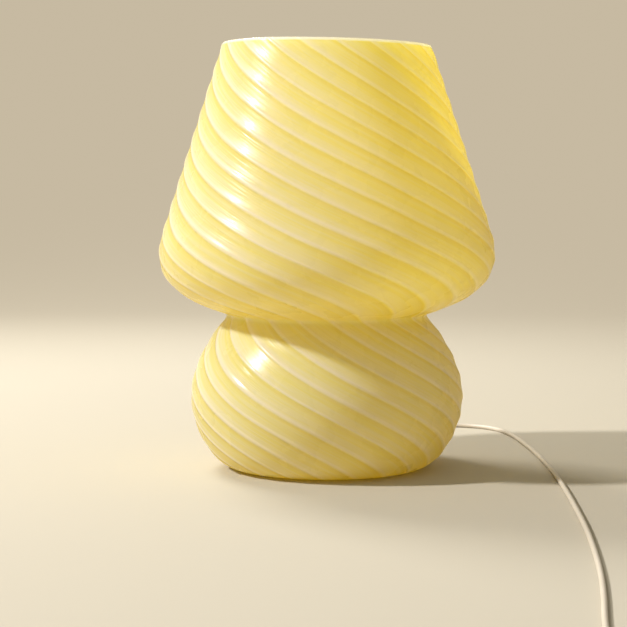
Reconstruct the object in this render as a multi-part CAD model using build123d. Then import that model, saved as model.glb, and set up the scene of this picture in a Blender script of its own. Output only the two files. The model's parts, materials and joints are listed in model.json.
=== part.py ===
"""Mushroom table lamp of one-piece blown glass, with its fixings, bulb, cord, switch and plug.

Millimetres, +Z up. The origin is the centre of the base, on the plane that the lamp stands on.
-Y is the side that faces the room, +Y the side where the cord leaves.
"""

import math
import os

from build123d import *

os.makedirs("parts", exist_ok=True)

# ---------------------------------------------------------------- driving dimensions
# Blown glass: the outline is given by its widest and narrowest places.
TOTAL_HEIGHT = 240.0
RIM_RADIUS = 58.8
CONE_FOOT_RADIUS = 91.9
CONE_FOOT_Z = 136.0
SHADE_RADIUS = 94.7
SHADE_WIDEST_Z = 121.5
SHOULDER_EASE = 0.35
WAIST_RADIUS = 56.6
WAIST_Z = 86.4
CREASE_HALF_HEIGHT = 2.0
CREASE_DEPTH = 1.4
GLOBE_RADIUS = 77.0
GLOBE_WIDEST_Z = 41.0
FOOT_RADIUS = 52.6
GLASS_WALL = 3.0
RIM_ROUND = 1.1
NECK_ROUND = 4.0

# Swirl pressed into the glass: ridges that turn round the lamp as they climb.
SWIRL_RIDGES = 20
SWIRL_FALL_PER_RADIAN = 40.5
SWIRL_RELIEF = 0.5

# Pushed-up floor of the base, with the hole for the fixing tube.
PUNT_OUTER_RADIUS = 42.0
PUNT_INNER_RADIUS = 23.5
PUNT_HEIGHT = 9.0
FLOOR_THICKNESS = 4.0
FLOOR_HOLE_RADIUS = 6.0

# Clear feet under the base.
FOOT_PAD_RADIUS = 4.0
FOOT_PAD_THICKNESS = 1.0
FOOT_PAD_COUNT = 4

# Fixing stack on an M10 hollow threaded tube.
THREAD_TUBE_RADIUS = 5.0
THREAD_TUBE_BORE = 3.6
THREAD_TUBE_END = 1.0
NUT_ACROSS_FLATS = 14.0
NUT_THICKNESS = 3.0
STEEL_WASHER_RADIUS = 13.0
STEEL_WASHER_THICKNESS = 1.2
RUBBER_WASHER_RADIUS = 15.0
RUBBER_WASHER_THICKNESS = 1.6
COUPLING_RADIUS = 8.0
COUPLING_LENGTH = 18.0
COUPLING_THREAD_DEPTH = 5.0
COUPLING_SIDE_HOLE_RADIUS = 2.2
THREAD_CLEARANCE = 0.1

# E14 lampholder.
HOLDER_RADIUS = 14.0
HOLDER_WALL = 1.6
HOLDER_CAP_LENGTH = 20.0
HOLDER_CAP_NECK_RADIUS = 8.5
HOLDER_SLEEVE_LENGTH = 34.0
HOLDER_OVERLAP = 3.0
INSERT_THICKNESS = 5.0
SOCKET_SHELL_WALL = 0.5
SOCKET_SHELL_CLEARANCE = 0.35
SHELL_BELOW_COLLAR = 1.0
CONTACT_RISE = 3.4
BULB_REST_GAP = 0.3

# Small globe bulb with an E14 screw cap.
BULB_RADIUS = 22.5
BULB_GLASS_WALL = 0.9
BULB_NECK_RADIUS = 11.2
BULB_COLLAR_LENGTH = 15.0
BULB_LENGTH = 78.0
CAP_RADIUS = 6.8
CAP_LENGTH = 20.0
CAP_INSULATOR_LENGTH = 2.6
CAP_CONTACT_RADIUS = 2.4
CAP_CONTACT_HEIGHT = 1.2

# Cord, its grommet in the glass and the way it lies.
CORD_DIAMETER = 2.6
CORD_SIDES = 8
CORD_HOLE_Z = 18.0
CORD_HOLE_RADIUS = 4.2
GROMMET_FLANGE_RADIUS = 6.2
GROMMET_FLANGE_THICKNESS = 1.4
GROMMET_SEAT_CLEARANCE = 0.12
CORD_SLIP_CLEARANCE = 0.15
WIRE_RADIUS = 0.6
WIRE_REACH = 4.0

# In-line rocker switch.
SWITCH_LENGTH = 56.0
SWITCH_WIDTH = 24.0
SWITCH_HEIGHT = 15.0
SWITCH_WALL = 1.5
SWITCH_CENTRE_X = 14.0
ROCKER_RADIUS = 7.0
ROCKER_WIDTH = 8.4
ROCKER_TILT = 8.0
ROCKER_PIVOT_BELOW_TOP = 4.2
ROCKER_PIN_RADIUS = 1.0
ROCKER_GAP = 0.35
ROCKER_END_HEIGHT = 5.6
ROCKER_UNDERSIDE = -2.0
ROCKER_DISH = 0.2
EAR_MARGIN = 1.6
CONTACT_BAR_LENGTH = 15.0
CONTACT_BAR_WIDTH = 4.0
CONTACT_BAR_THICKNESS = 0.8
CONTACT_BAR_TILT = 4.8
CONTACT_BAR_Z = 4.6
BAR_ROLL_RADIUS = 0.5
RIDGE_GAP = 0.15
PUSHER_GAP = 0.35
PUSHER_RADIUS = 1.0
SWITCH_RELIEF_LENGTH = 12.0
SCREW_RADIUS = 1.1
SCREW_POST_RADIUS = 2.6
TERMINAL_REACH = 12.0
TERMINAL_WIDTH = 6.0
TERMINAL_LENGTH = 5.0
CLAMP_REACH = 17.6
CLAMP_LENGTH = 4.0
GRUB_SCREW_RADIUS = 1.5

# Two-pin plug.
PLUG_LENGTH = 34.0
PLUG_WIDTH = 35.0
PLUG_THICKNESS = 13.7
PLUG_REAR_WIDTH = 19.0
PLUG_REAR_THICKNESS = 11.5
PLUG_RELIEF_LENGTH = 30.0
PIN_RADIUS = 2.0
PIN_SLEEVE_RADIUS = 1.8
PIN_SLEEVE_WALL = 0.5
PIN_LENGTH = 19.0
PIN_TIP_LENGTH = 0.9
PIN_TIP_INSET = 0.8
PIN_SLEEVE_LENGTH = 10.0
PIN_SPACING = 18.6

# Where the put-away end of the cord lies, in front of the lamp.
FRONT_LINE_Y = -452.0
COIL_CENTRE_X = -64.0
COIL_OUTER_RADIUS = 19.4
COIL_TURNS_PER_LAYER = 3
COIL_GAP = 0.5
COIL_TO_PLUG = 24.0

CORD_RADIUS = CORD_DIAMETER / 2


# ---------------------------------------------------------------- small helpers
def save(shape, name):
    """Write one named piece."""
    export_step(shape, f"parts/{name}.step")


def ring(outer_radius, inner_radius, low_z, high_z):
    """A washer or tube about the lamp's axis between two heights."""
    flat = Circle(outer_radius) - Circle(inner_radius)
    return Pos(0, 0, low_z) * extrude(flat, high_z - low_z)


def disc(radius, low_z, high_z):
    """A plain round piece about the lamp's axis between two heights."""
    return Pos(0, 0, low_z) * extrude(Circle(radius), high_z - low_z)


def spin(points):
    """Revolve a closed outline of (radius, height) points about +Z."""
    outline = Polyline(*[(r, 0, z) for r, z in points], close=True)
    return revolve(make_face(outline), Axis.Z)


def place(shape, origin, direction):
    """Carry a shape modelled about +Z to a point, its axis along a direction."""
    return Plane(origin=origin, z_dir=direction).location * shape


def standing_box(length, width, height):
    """A box that stands on Z 0, centred in X and Y."""
    return Box(length, width, height, align=(Align.CENTER, Align.CENTER, Align.MIN))


def group(solids):
    """Equal pieces kept as separate solids of one node."""
    return Compound(children=list(solids))


# ---------------------------------------------------------------- glass outline
def bezier(*points):
    """One curve of the outline, through (radius, height) control points."""
    return Edge.make_bezier(*[Vector(r, 0, z) for r, z in points])


def straight(start, end):
    """One straight stretch of the outline."""
    return Edge.make_line(Vector(start[0], 0, start[1]), Vector(end[0], 0, end[1]))


def between(start, end, share_r, share_z):
    """A point at the given shares of the way from start to end."""
    return (
        start[0] + share_r * (end[0] - start[0]),
        start[1] + share_z * (end[1] - start[1]),
    )


def beyond(start, end, distance):
    """A point that far past the end, on the line from start through it."""
    share = 1 + distance / math.hypot(end[0] - start[0], end[1] - start[1])
    return between(start, end, share, share)


FOOT_Z = FOOT_PAD_THICKNESS
RIM = (RIM_RADIUS, TOTAL_HEIGHT - RIM_ROUND)
CONE_FOOT = (CONE_FOOT_RADIUS, CONE_FOOT_Z)
WIDEST = (SHADE_RADIUS, SHADE_WIDEST_Z)
CREASE_TOP = (WAIST_RADIUS + CREASE_DEPTH, WAIST_Z + CREASE_HALF_HEIGHT)
CREASE_BOTTOM = (WAIST_RADIUS + CREASE_DEPTH, WAIST_Z - CREASE_HALF_HEIGHT)
CREASE_POINT = (WAIST_RADIUS - CREASE_DEPTH, WAIST_Z + CREASE_HALF_HEIGHT / 2)
GLOBE = (GLOBE_RADIUS, GLOBE_WIDEST_Z)
FOOT = (FOOT_RADIUS, FOOT_Z)


def shoulder_controls():
    """From the foot of the straight wall round to the widest place."""
    lean = (CONE_FOOT_RADIUS - RIM_RADIUS) / (TOTAL_HEIGHT - CONE_FOOT_Z)
    drop = SHOULDER_EASE * (CONE_FOOT_Z - SHADE_WIDEST_Z)
    return [
        CONE_FOOT,
        (CONE_FOOT_RADIUS + lean * drop, CONE_FOOT_Z - drop),
        (SHADE_RADIUS, SHADE_WIDEST_Z + drop),
        WIDEST,
    ]


def underside_controls():
    """From the widest place in under the shade to the crease."""
    return [
        WIDEST,
        between(WIDEST, CREASE_TOP, 0.0, 0.57),
        between(WIDEST, CREASE_TOP, 0.51, 0.83),
        CREASE_TOP,
    ]


def globe_upper_controls():
    """From the crease out over the top of the base."""
    return [
        CREASE_BOTTOM,
        between(CREASE_BOTTOM, GLOBE, 0.47, 0.24),
        between(CREASE_BOTTOM, GLOBE, 1.0, 0.62),
        GLOBE,
    ]


def globe_lower_controls():
    """From the widest place of the base in to the foot."""
    return [
        GLOBE,
        between(GLOBE, FOOT, 0.0, 0.47),
        between(GLOBE, FOOT, 0.53, 0.985),
        FOOT,
    ]


def outer_outline():
    """The outer curves from rim to foot, each with the number of steps that its bend needs."""
    top = (RIM_RADIUS - RIM_ROUND, TOTAL_HEIGHT)
    return [
        (bezier(top, (RIM_RADIUS - 0.4 * RIM_ROUND, TOTAL_HEIGHT), RIM), 2),
        (straight(RIM, CONE_FOOT), 16),
        (bezier(*shoulder_controls()), 3),
        (bezier(*underside_controls()), 7),
        (bezier(CREASE_TOP, CREASE_POINT, CREASE_BOTTOM), 3),
        (bezier(*globe_upper_controls()), 8),
        (bezier(*globe_lower_controls()), 9),
    ]


def moved_in(controls, distance):
    """The same curve one wall further in: each end of its frame moves square to the outline."""

    def square(start, end):
        run = math.hypot(end[0] - start[0], end[1] - start[1])
        return (end[1] - start[1]) / run * distance, -(end[0] - start[0]) / run * distance

    first = square(controls[0], controls[1])
    last = square(controls[-2], controls[-1])
    moves = [first, first, last, last]
    return [(r + dr, z + dz) for (r, z), (dr, dz) in zip(controls, moves)]


def core_face():
    """The space inside the glass, its floor hole and the hollow under the floor, as a half section."""
    wall = GLASS_WALL
    shoulder = moved_in(shoulder_controls(), wall)
    underside = moved_in(underside_controls(), wall)
    upper = moved_in(globe_upper_controls(), wall)
    lower = moved_in(globe_lower_controls(), wall)
    rim_in = (RIM_RADIUS - wall, TOTAL_HEIGHT - RIM_ROUND)
    top_in = (rim_in[0] + 0.6 * RIM_ROUND, TOTAL_HEIGHT)
    neck_a = beyond(underside[-2], underside[-1], NECK_ROUND)
    neck_b = beyond(upper[1], upper[0], NECK_ROUND)
    floor_low = FOOT_Z + wall
    floor_high = FOOT_Z + PUNT_HEIGHT + FLOOR_THICKNESS
    lower[-2] = (lower[-2][0], floor_low)
    lower[-1] = (PUNT_OUTER_RADIUS + wall, floor_low)
    dip = (PUNT_INNER_RADIUS + FLOOR_THICKNESS / 2, floor_high)
    punt_z = FOOT_Z + PUNT_HEIGHT
    middle = (PUNT_OUTER_RADIUS + PUNT_INNER_RADIUS) / 2
    edges = [
        straight((0, TOTAL_HEIGHT), top_in),
        bezier(top_in, (rim_in[0], TOTAL_HEIGHT), rim_in),
        straight(rim_in, shoulder[0]),
        bezier(*shoulder),
        bezier(*underside),
        bezier(underside[-1], neck_a, neck_b, upper[0]),
        bezier(*upper),
        bezier(*lower),
        bezier(lower[-1], (middle + wall, floor_low), (middle, floor_high), dip),
        straight(dip, (FLOOR_HOLE_RADIUS, floor_high)),
        straight((FLOOR_HOLE_RADIUS, floor_high), (FLOOR_HOLE_RADIUS, punt_z)),
        straight((FLOOR_HOLE_RADIUS, punt_z), (PUNT_INNER_RADIUS, punt_z)),
        bezier(
            (PUNT_INNER_RADIUS, punt_z),
            (middle - wall / 2, punt_z),
            (middle, FOOT_Z),
            (PUNT_OUTER_RADIUS, FOOT_Z),
        ),
        straight((PUNT_OUTER_RADIUS, FOOT_Z), (0, FOOT_Z)),
        straight((0, FOOT_Z), (0, TOTAL_HEIGHT)),
    ]
    return Face(Wire(edges))


def wall_at(height):
    """Where the lower part of the base has the given height: its radius, and the outward normal there."""
    curve = bezier(*globe_lower_controls())
    low, high = 0.0, 1.0
    for _ in range(40):
        middle = (low + high) / 2
        if (curve @ middle).Z > height:
            low = middle
        else:
            high = middle
    point, along = curve @ low, curve % low
    return point.X, Vector(0, -along.Z, along.X).normalized()


def swirl_lines():
    """The ridges and valleys in turn, each one smooth line from rim to foot."""
    stations = []
    for curve, steps in outer_outline():
        stations += [curve @ (k / steps) for k in range(steps)]
    stations.append(Vector(FOOT[0], 0, FOOT[1]))
    last = len(stations) - 1
    lines = []
    for number in range(2 * SWIRL_RIDGES):
        height = SWIRL_RELIEF / 2 if number % 2 == 0 else -SWIRL_RELIEF / 2
        points = []
        for k, station in enumerate(stations):
            fade = 0.0 if k in (0, last) else 1.0
            radius = station.X + fade * height
            angle = number * math.pi / SWIRL_RIDGES - station.Z / SWIRL_FALL_PER_RADIAN
            points.append(
                Vector(radius * math.cos(angle), radius * math.sin(angle), station.Z)
            )
        lines.append(Edge.make_spline(points))
    return lines


def rim_wire(lines, end):
    """The many-sided edge that the swirl lines reach at their start or end."""
    corners = [line @ end for line in lines]
    return Wire.make_polygon(corners, close=True)


def glass_body():
    """Shade and base in one: a swirled outside, a plain inside and a pushed-up floor."""
    lines = swirl_lines()
    strips = [
        Face.make_surface_from_curves(lines[k], lines[(k + 1) % len(lines)])
        for k in range(len(lines))
    ]
    core = Solid.revolve(core_face(), 360, Axis.Z)
    lids = core.faces().sort_by(Axis.Z)
    inside = lids[1:-1]
    rim = Face(rim_wire(lines, 0), [lids[-1].outer_wire()])
    foot = Face(rim_wire(lines, 1), [lids[0].outer_wire()])
    glass = Solid(Shell([*strips, *inside, rim, foot]))
    drill = Cylinder(CORD_HOLE_RADIUS, 6 * GLASS_WALL)
    return glass - place(drill, HOLE_POINT, HOLE_NORMAL)


def at_the_crease(glass):
    """The one blown piece as the two that it is kept in: shade and base, face to face at the crease."""
    seam = Plane.XY.offset(CREASE_POINT[1])
    return (
        glass.split(seam, keep=Keep.TOP),
        glass.split(seam, keep=Keep.BOTTOM),
    )


HOLE_RADIUS_ON_GLASS, HOLE_NORMAL = wall_at(CORD_HOLE_Z)
HOLE_POINT = Vector(0, HOLE_RADIUS_ON_GLASS, CORD_HOLE_Z)


def foot_pads():
    """Clear round feet under the rim of the base."""
    reach = (PUNT_OUTER_RADIUS + FOOT_RADIUS) / 2
    pad = extrude(Circle(FOOT_PAD_RADIUS), FOOT_PAD_THICKNESS)
    pad = chamfer(pad.faces().sort_by(Axis.Z)[0].edges(), FOOT_PAD_THICKNESS / 4)
    turns = [360 / FOOT_PAD_COUNT * (k + 0.5) for k in range(FOOT_PAD_COUNT)]
    return group(Rot(0, 0, turn) * Pos(reach, 0, 0) * pad for turn in turns)


# ---------------------------------------------------------------- heights of the stack
FLOOR_LOW = FOOT_Z + PUNT_HEIGHT
FLOOR_HIGH = FLOOR_LOW + FLOOR_THICKNESS
LOWER_RUBBER = (FLOOR_LOW - RUBBER_WASHER_THICKNESS, FLOOR_LOW)
LOWER_STEEL = (LOWER_RUBBER[0] - STEEL_WASHER_THICKNESS, LOWER_RUBBER[0])
NUT = (LOWER_STEEL[0] - NUT_THICKNESS, LOWER_STEEL[0])
UPPER_RUBBER = (FLOOR_HIGH, FLOOR_HIGH + RUBBER_WASHER_THICKNESS)
UPPER_STEEL = (UPPER_RUBBER[1], UPPER_RUBBER[1] + STEEL_WASHER_THICKNESS)
COUPLING = (UPPER_STEEL[1], UPPER_STEEL[1] + COUPLING_LENGTH)
COUPLING_MIDDLE = (COUPLING[0] + COUPLING[1]) / 2
HOLDER_CAP = (COUPLING[1], COUPLING[1] + HOLDER_CAP_LENGTH)
HOLDER_JOINT = HOLDER_CAP[1] - HOLDER_OVERLAP
HOLDER_SLEEVE = (HOLDER_JOINT, HOLDER_JOINT + HOLDER_SLEEVE_LENGTH)
INSERT = (HOLDER_JOINT, HOLDER_JOINT + INSERT_THICKNESS)
CAP_THREAD_ENTRY = (HOLDER_CAP[0], HOLDER_CAP[0] + COUPLING_THREAD_DEPTH)
CONTACT_TOP = INSERT[1] + CONTACT_RISE
BULB_LOW = CONTACT_TOP + BULB_REST_GAP
BULB_TOP = BULB_LOW + BULB_LENGTH
BULB_CENTRE_Z = BULB_TOP - BULB_RADIUS


# ---------------------------------------------------------------- fixing stack
def hex_nut():
    """Flat nut under the floor, with its corners turned off."""
    blank = extrude(RegularPolygon(NUT_ACROSS_FLATS / 2, 6, major_radius=False), NUT_THICKNESS)
    corner = NUT_ACROSS_FLATS / math.sqrt(3)
    turned = chamfer(extrude(Circle(corner), NUT_THICKNESS).edges(), 0.12 * NUT_THICKNESS)
    bore = Cylinder(THREAD_TUBE_RADIUS + THREAD_CLEARANCE, 3 * NUT_THICKNESS)
    return Pos(0, 0, NUT[0]) * ((blank & turned) - bore)


def lower_tube():
    """Hollow threaded tube through the floor, from under the nut up into the coupling."""
    return ring(
        THREAD_TUBE_RADIUS,
        THREAD_TUBE_BORE,
        NUT[0] - THREAD_TUBE_END,
        COUPLING[0] + COUPLING_THREAD_DEPTH,
    )


def upper_tube():
    """Hollow threaded tube from the coupling up into the lampholder."""
    return ring(
        THREAD_TUBE_RADIUS,
        THREAD_TUBE_BORE,
        COUPLING[1] - COUPLING_THREAD_DEPTH,
        CAP_THREAD_ENTRY[1],
    )


def side_outlet_coupling():
    """Round coupling with a hole in its side for the cord."""
    body = disc(COUPLING_RADIUS, *COUPLING)
    body = chamfer(body.edges(), 0.6)
    bore = disc(THREAD_TUBE_RADIUS + THREAD_CLEARANCE, *COUPLING)
    side = Pos(0, 0, COUPLING_MIDDLE) * Rot(-90, 0, 0) * Cylinder(
        COUPLING_SIDE_HOLE_RADIUS,
        2 * COUPLING_RADIUS,
        align=(Align.CENTER, Align.CENTER, Align.MIN),
    )
    return body - bore - side


# ---------------------------------------------------------------- lampholder
def holder_cap():
    """Lower cap of the lampholder: a neck that screws on the tube and a bell above it."""
    hole = along_grub_screw(GRUB_SCREW_RADIUS + THREAD_CLEARANCE, 0, 2 * HOLDER_RADIUS)
    return holder_bell() - hole


def along_grub_screw(radius, near, far):
    """A round bar on the line of the locking screw, between two distances from the lamp's axis."""
    bar = Pos(0, 0, near) * extrude(Circle(radius), far - near)
    return Pos(0, 0, HOLDER_CAP[0] + COUPLING_THREAD_DEPTH / 2) * Rot(0, 90, 0) * bar


def grub_screw():
    """Slotted locking screw in the neck of the lampholder's cap."""
    near = THREAD_TUBE_RADIUS + THREAD_CLEARANCE / 2
    far = HOLDER_CAP_NECK_RADIUS - THREAD_CLEARANCE
    slot = Box(1.2, 3 * GRUB_SCREW_RADIUS, 0.5)
    slot = Pos(far, 0, HOLDER_CAP[0] + COUPLING_THREAD_DEPTH / 2) * slot
    return along_grub_screw(GRUB_SCREW_RADIUS, near, far) - slot


def holder_bell():
    """The cap's turned shape, before the hole for its locking screw."""
    low, high = HOLDER_CAP
    neck_top = low + COUPLING_THREAD_DEPTH + HOLDER_WALL
    inner = HOLDER_RADIUS - 2 * HOLDER_WALL
    joint = high - HOLDER_OVERLAP
    bore = THREAD_TUBE_RADIUS + THREAD_CLEARANCE
    return spin(
        [
            (bore, low),
            (HOLDER_CAP_NECK_RADIUS, low),
            (HOLDER_CAP_NECK_RADIUS, neck_top),
            (HOLDER_RADIUS, neck_top + 0.45 * (joint - neck_top)),
            (HOLDER_RADIUS, joint - THREAD_CLEARANCE),
            (inner + HOLDER_WALL - THREAD_CLEARANCE, joint - THREAD_CLEARANCE),
            (inner + HOLDER_WALL - THREAD_CLEARANCE, high),
            (inner, high),
            (inner, neck_top + 0.45 * (joint - neck_top) + HOLDER_WALL),
            (bore, neck_top),
        ]
    )


def holder_sleeve():
    """Upper sleeve of the lampholder, which screws over the cap and guides the bulb."""
    low, high = HOLDER_SLEEVE
    bore = HOLDER_RADIUS - HOLDER_WALL
    flange = HOLDER_RADIUS + 1.2
    lip = 2.0
    skin = [
        (bore, low),
        (HOLDER_RADIUS, low),
        (HOLDER_RADIUS, high - lip),
        (flange, high - lip),
        (flange, high - lip / 2),
        (flange - lip / 2, high),
        (bore, high),
    ]
    return spin(skin)


def holder_insert():
    """Ceramic-like block that carries the contacts, with two wire holes and a seat for the shell."""
    low, high = INSERT
    radius = HOLDER_RADIUS - 2 * HOLDER_WALL - 0.2
    block = disc(radius, low, high)
    block -= disc(CAP_CONTACT_RADIUS + 0.4, low, low + 0.4 * INSERT_THICKNESS)
    wire = Cylinder(WIRE_RADIUS + CORD_SLIP_CLEARANCE, 4 * INSERT_THICKNESS)
    for side in (-1, 1):
        block -= Pos(side * WIRE_REACH, 0, low) * wire
    return block


def socket_shell():
    """Thread sleeve of brass that the bulb's cap turns in."""
    inner = CAP_RADIUS + SOCKET_SHELL_CLEARANCE
    outer = inner + SOCKET_SHELL_WALL
    low = INSERT[1]
    return ring(outer, inner, low, BULB_LOW + CAP_LENGTH - SHELL_BELOW_COLLAR)


def centre_contact():
    """Sprung tongue under the bulb's tip: a riveted foot, a rise and a raised pad."""
    width = 3.2
    thick = 0.5
    reach = 4.2
    low = INSERT[1]
    line = Polyline(
        (-reach, 0, low),
        (-0.4 * reach, 0, low),
        (0.2 * reach, 0, CONTACT_TOP - thick),
        (0.75 * reach, 0, CONTACT_TOP - thick),
        (0.75 * reach, 0, CONTACT_TOP),
        (0.1 * reach, 0, CONTACT_TOP),
        (-0.5 * reach, 0, low + thick),
        (-reach, 0, low + thick),
        close=True,
    )
    return Pos(0, width / 2, 0) * extrude(make_face(line), width, dir=(0, -1, 0))


def terminal_screws():
    """Two slotted screws under the block that clamp the wires."""
    head = 2.4
    height = 2.0
    low = INSERT[0] - height
    screw = Pos(0, 0, low) * extrude(Circle(head), height)
    slot = Pos(0, 0, low) * Box(2 * head, 0.6, 1.0)
    screw -= slot
    return group(Pos(0, side * 6.4, 0) * screw for side in (-1, 1))


# ---------------------------------------------------------------- bulb
def bulb_globe():
    """Opal globe, open at the neck where it is glued into the collar."""
    outer = BULB_RADIUS
    neck = BULB_NECK_RADIUS
    neck_z = BULB_LOW + CAP_LENGTH + BULB_COLLAR_LENGTH
    foot = math.sqrt(outer**2 - neck**2)
    flank = BULB_CENTRE_Z - foot
    inner = outer - BULB_GLASS_WALL
    flank_in = BULB_CENTRE_Z - math.sqrt(inner**2 - (neck - BULB_GLASS_WALL) ** 2)
    outside = Edge.make_three_point_arc(
        Vector(neck, 0, flank), Vector(outer, 0, BULB_CENTRE_Z), Vector(0, 0, BULB_TOP)
    )
    inside = Edge.make_three_point_arc(
        Vector(0, 0, BULB_CENTRE_Z + inner),
        Vector(inner, 0, BULB_CENTRE_Z),
        Vector(neck - BULB_GLASS_WALL, 0, flank_in),
    )
    edges = [
        outside,
        straight((0, BULB_TOP), (0, BULB_CENTRE_Z + inner)),
        inside,
        straight((neck - BULB_GLASS_WALL, flank_in), (neck - BULB_GLASS_WALL, neck_z)),
        straight((neck - BULB_GLASS_WALL, neck_z), (neck, neck_z)),
        straight((neck, neck_z), (neck, flank)),
    ]
    return revolve(Face(Wire(edges)), Axis.Z)


def bulb_collar():
    """Plastic collar between the screw cap and the globe, which holds the driver."""
    low = BULB_LOW + CAP_LENGTH
    high = low + BULB_COLLAR_LENGTH
    top = BULB_NECK_RADIUS
    outline = [(0, low), (CAP_RADIUS + 0.8, low), (top + 0.9, high - 4), (top + 0.9, high), (0, high)]
    return spin(outline)


def bulb_cap():
    """Metal screw cap, rolled in at its lower end."""
    low = BULB_LOW + CAP_CONTACT_HEIGHT + CAP_INSULATOR_LENGTH
    high = BULB_LOW + CAP_LENGTH
    roll = CAP_RADIUS - 1.4
    return spin([(0, low), (roll, low), (CAP_RADIUS, low + 1.6), (CAP_RADIUS, high), (0, high)])


def bulb_insulator():
    """Black insulator between the screw cap and the tip."""
    low = BULB_LOW + CAP_CONTACT_HEIGHT
    high = low + CAP_INSULATOR_LENGTH
    return spin([(0, low), (CAP_CONTACT_RADIUS + 0.6, low), (CAP_RADIUS - 1.4, high), (0, high)])


def bulb_tip():
    """Rounded contact at the very end of the bulb."""
    low = BULB_LOW
    high = low + CAP_CONTACT_HEIGHT
    radius = CAP_CONTACT_RADIUS
    return spin([(0, low), (radius - 0.9, low), (radius, low + 0.6), (radius, high), (0, high)])


# ---------------------------------------------------------------- cord in the lamp
GROMMET_FACE = GROMMET_SEAT_CLEARANCE + GROMMET_FLANGE_THICKNESS
INNER_FLANGE_SEAT = GLASS_WALL + 1.0


def cord_grommet():
    """Rubber bush with a flange on each side of the glass wall."""
    bore = CORD_RADIUS + CORD_SLIP_CLEARANCE
    body = CORD_HOLE_RADIUS - GROMMET_SEAT_CLEARANCE
    flange = GROMMET_FLANGE_RADIUS
    inner_low = -INNER_FLANGE_SEAT - GROMMET_FLANGE_THICKNESS
    bevel = 0.5
    bush = spin(
        [
            (bore, inner_low),
            (body + bevel, inner_low),
            (body + 1.4, -INNER_FLANGE_SEAT),
            (body, -INNER_FLANGE_SEAT),
            (body, GROMMET_SEAT_CLEARANCE),
            (flange, GROMMET_SEAT_CLEARANCE),
            (flange, GROMMET_FACE - bevel),
            (flange - 2 * bevel, GROMMET_FACE),
            (bore, GROMMET_FACE),
        ]
    )
    return place(bush, HOLE_POINT, HOLE_NORMAL)


CORD_START = HOLE_POINT + HOLE_NORMAL * GROMMET_FACE
RISE_TO_COUPLING = (COUPLING_MIDDLE - CORD_START.Z) / -HOLE_NORMAL.Z


def corner_radii(points):
    """The largest arc that each corner of a route has room for."""
    radii = []
    for before, corner, after in zip(points, points[1:], points[2:]):
        run_in = corner - before
        run_out = after - corner
        turn = math.radians(run_in.get_angle(run_out))
        shorter = min(run_in.length, run_out.length)
        radii.append(0.45 * shorter / math.tan(turn / 2))
    return radii


def tube_along(points, radius, name):
    """A round tube on straight runs joined by arcs; its volume is compared with section times length."""
    points = [Vector(*p) for p in points]
    if len(points) > 2:
        radii = corner_radii(points)
        path = FilletPolyline(*points, radius=radii)
        print(name, "corner radii", [round(r, 1) for r in radii])
    else:
        path = Line(*points)
    start = points[0]
    flat = RegularPolygon(radius, CORD_SIDES)
    section = Plane(origin=start, z_dir=points[1] - start) * flat
    tube = sweep(section, path=path)
    expected = flat.area * path.length
    print(name, f"length {path.length:.1f} mm, volume {tube.volume / expected:.4f}")
    return tube


def inner_cord():
    """The cord's last stretch, inside the base: through the bush and into the coupling."""
    inner_end = THREAD_TUBE_BORE
    start = CORD_START
    bend = start - HOLE_NORMAL * (0.8 * RISE_TO_COUPLING)
    sag = Vector(0, 0.55 * bend.Y, bend.Z + 0.5 * (COUPLING_MIDDLE - bend.Z))
    entry = Vector(0, COUPLING_RADIUS + 2 * CORD_DIAMETER, COUPLING_MIDDLE)
    end = Vector(0, inner_end, COUPLING_MIDDLE)
    return tube_along([start, bend, sag, entry, end], CORD_RADIUS, "inner_cord")


def core_wires():
    """The two insulated wires from the cord's end up the tube to the contact block."""
    start_z = COUPLING_MIDDLE
    bend_low = CAP_THREAD_ENTRY[1] + 1.0
    high = INSERT[0] + 1.0
    bend_high = INSERT[0] - 2.5
    wires = []
    for side in (-1, 1):
        near, far = side * 2 * WIRE_RADIUS, side * WIRE_REACH
        points = [
            (side * (WIRE_RADIUS + 0.08), THREAD_TUBE_BORE, start_z),
            (side * (WIRE_RADIUS + 0.08), 0.4, start_z),
            (near - side * 0.1, 0.0, (start_z + COUPLING[1]) / 2),
            (near, 0.1, bend_low),
            (far, 0.0, bend_high),
            (far, 0.0, high),
        ]
        wires.append(tube_along(points, WIRE_RADIUS, "core_wire"))
    return group(wires)


# ---------------------------------------------------------------- cord outside the lamp
FLOOR_LIE = CORD_RADIUS
SWITCH_CORD_Z = SWITCH_HEIGHT / 2
SWITCH_END = SWITCH_LENGTH / 2 + SWITCH_RELIEF_LENGTH


def run_route():
    """From the grommet down behind the base, out to the right and round to the switch in front."""
    lie = FLOOR_LIE
    start = CORD_START
    lead = start + HOLE_NORMAL * 16.0
    switch_in = SWITCH_CENTRE_X + SWITCH_END
    return [
        tuple(start),
        tuple(lead),
        (3.0, 105.0, 3.4),
        (13.0, 124.0, lie),
        (32.0, 143.0, lie),
        (58.0, 158.0, lie),
        (82.0, 163.5, lie),
        (101.0, 156.5, lie),
        (112.5, 141.0, lie),
        (117.8, 119.0, lie),
        (120.8, 92.0, lie),
        (123.4, 58.0, lie),
        (125.3, 14.0, lie),
        (126.0, -34.0, lie),
        (125.0, -86.0, lie),
        (123.0, -140.0, lie),
        (120.6, -192.0, lie),
        (117.0, -242.0, lie),
        (112.6, -290.0, lie),
        (107.0, -335.0, lie),
        (101.5, -372.0, lie),
        (98.0, -402.0, lie),
        (92.0, -428.0, lie),
        (82.0, -444.0, 3.0),
        (switch_in + 12.0, FRONT_LINE_Y, SWITCH_CORD_Z),
        (switch_in, FRONT_LINE_Y, SWITCH_CORD_Z),
    ]


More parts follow.
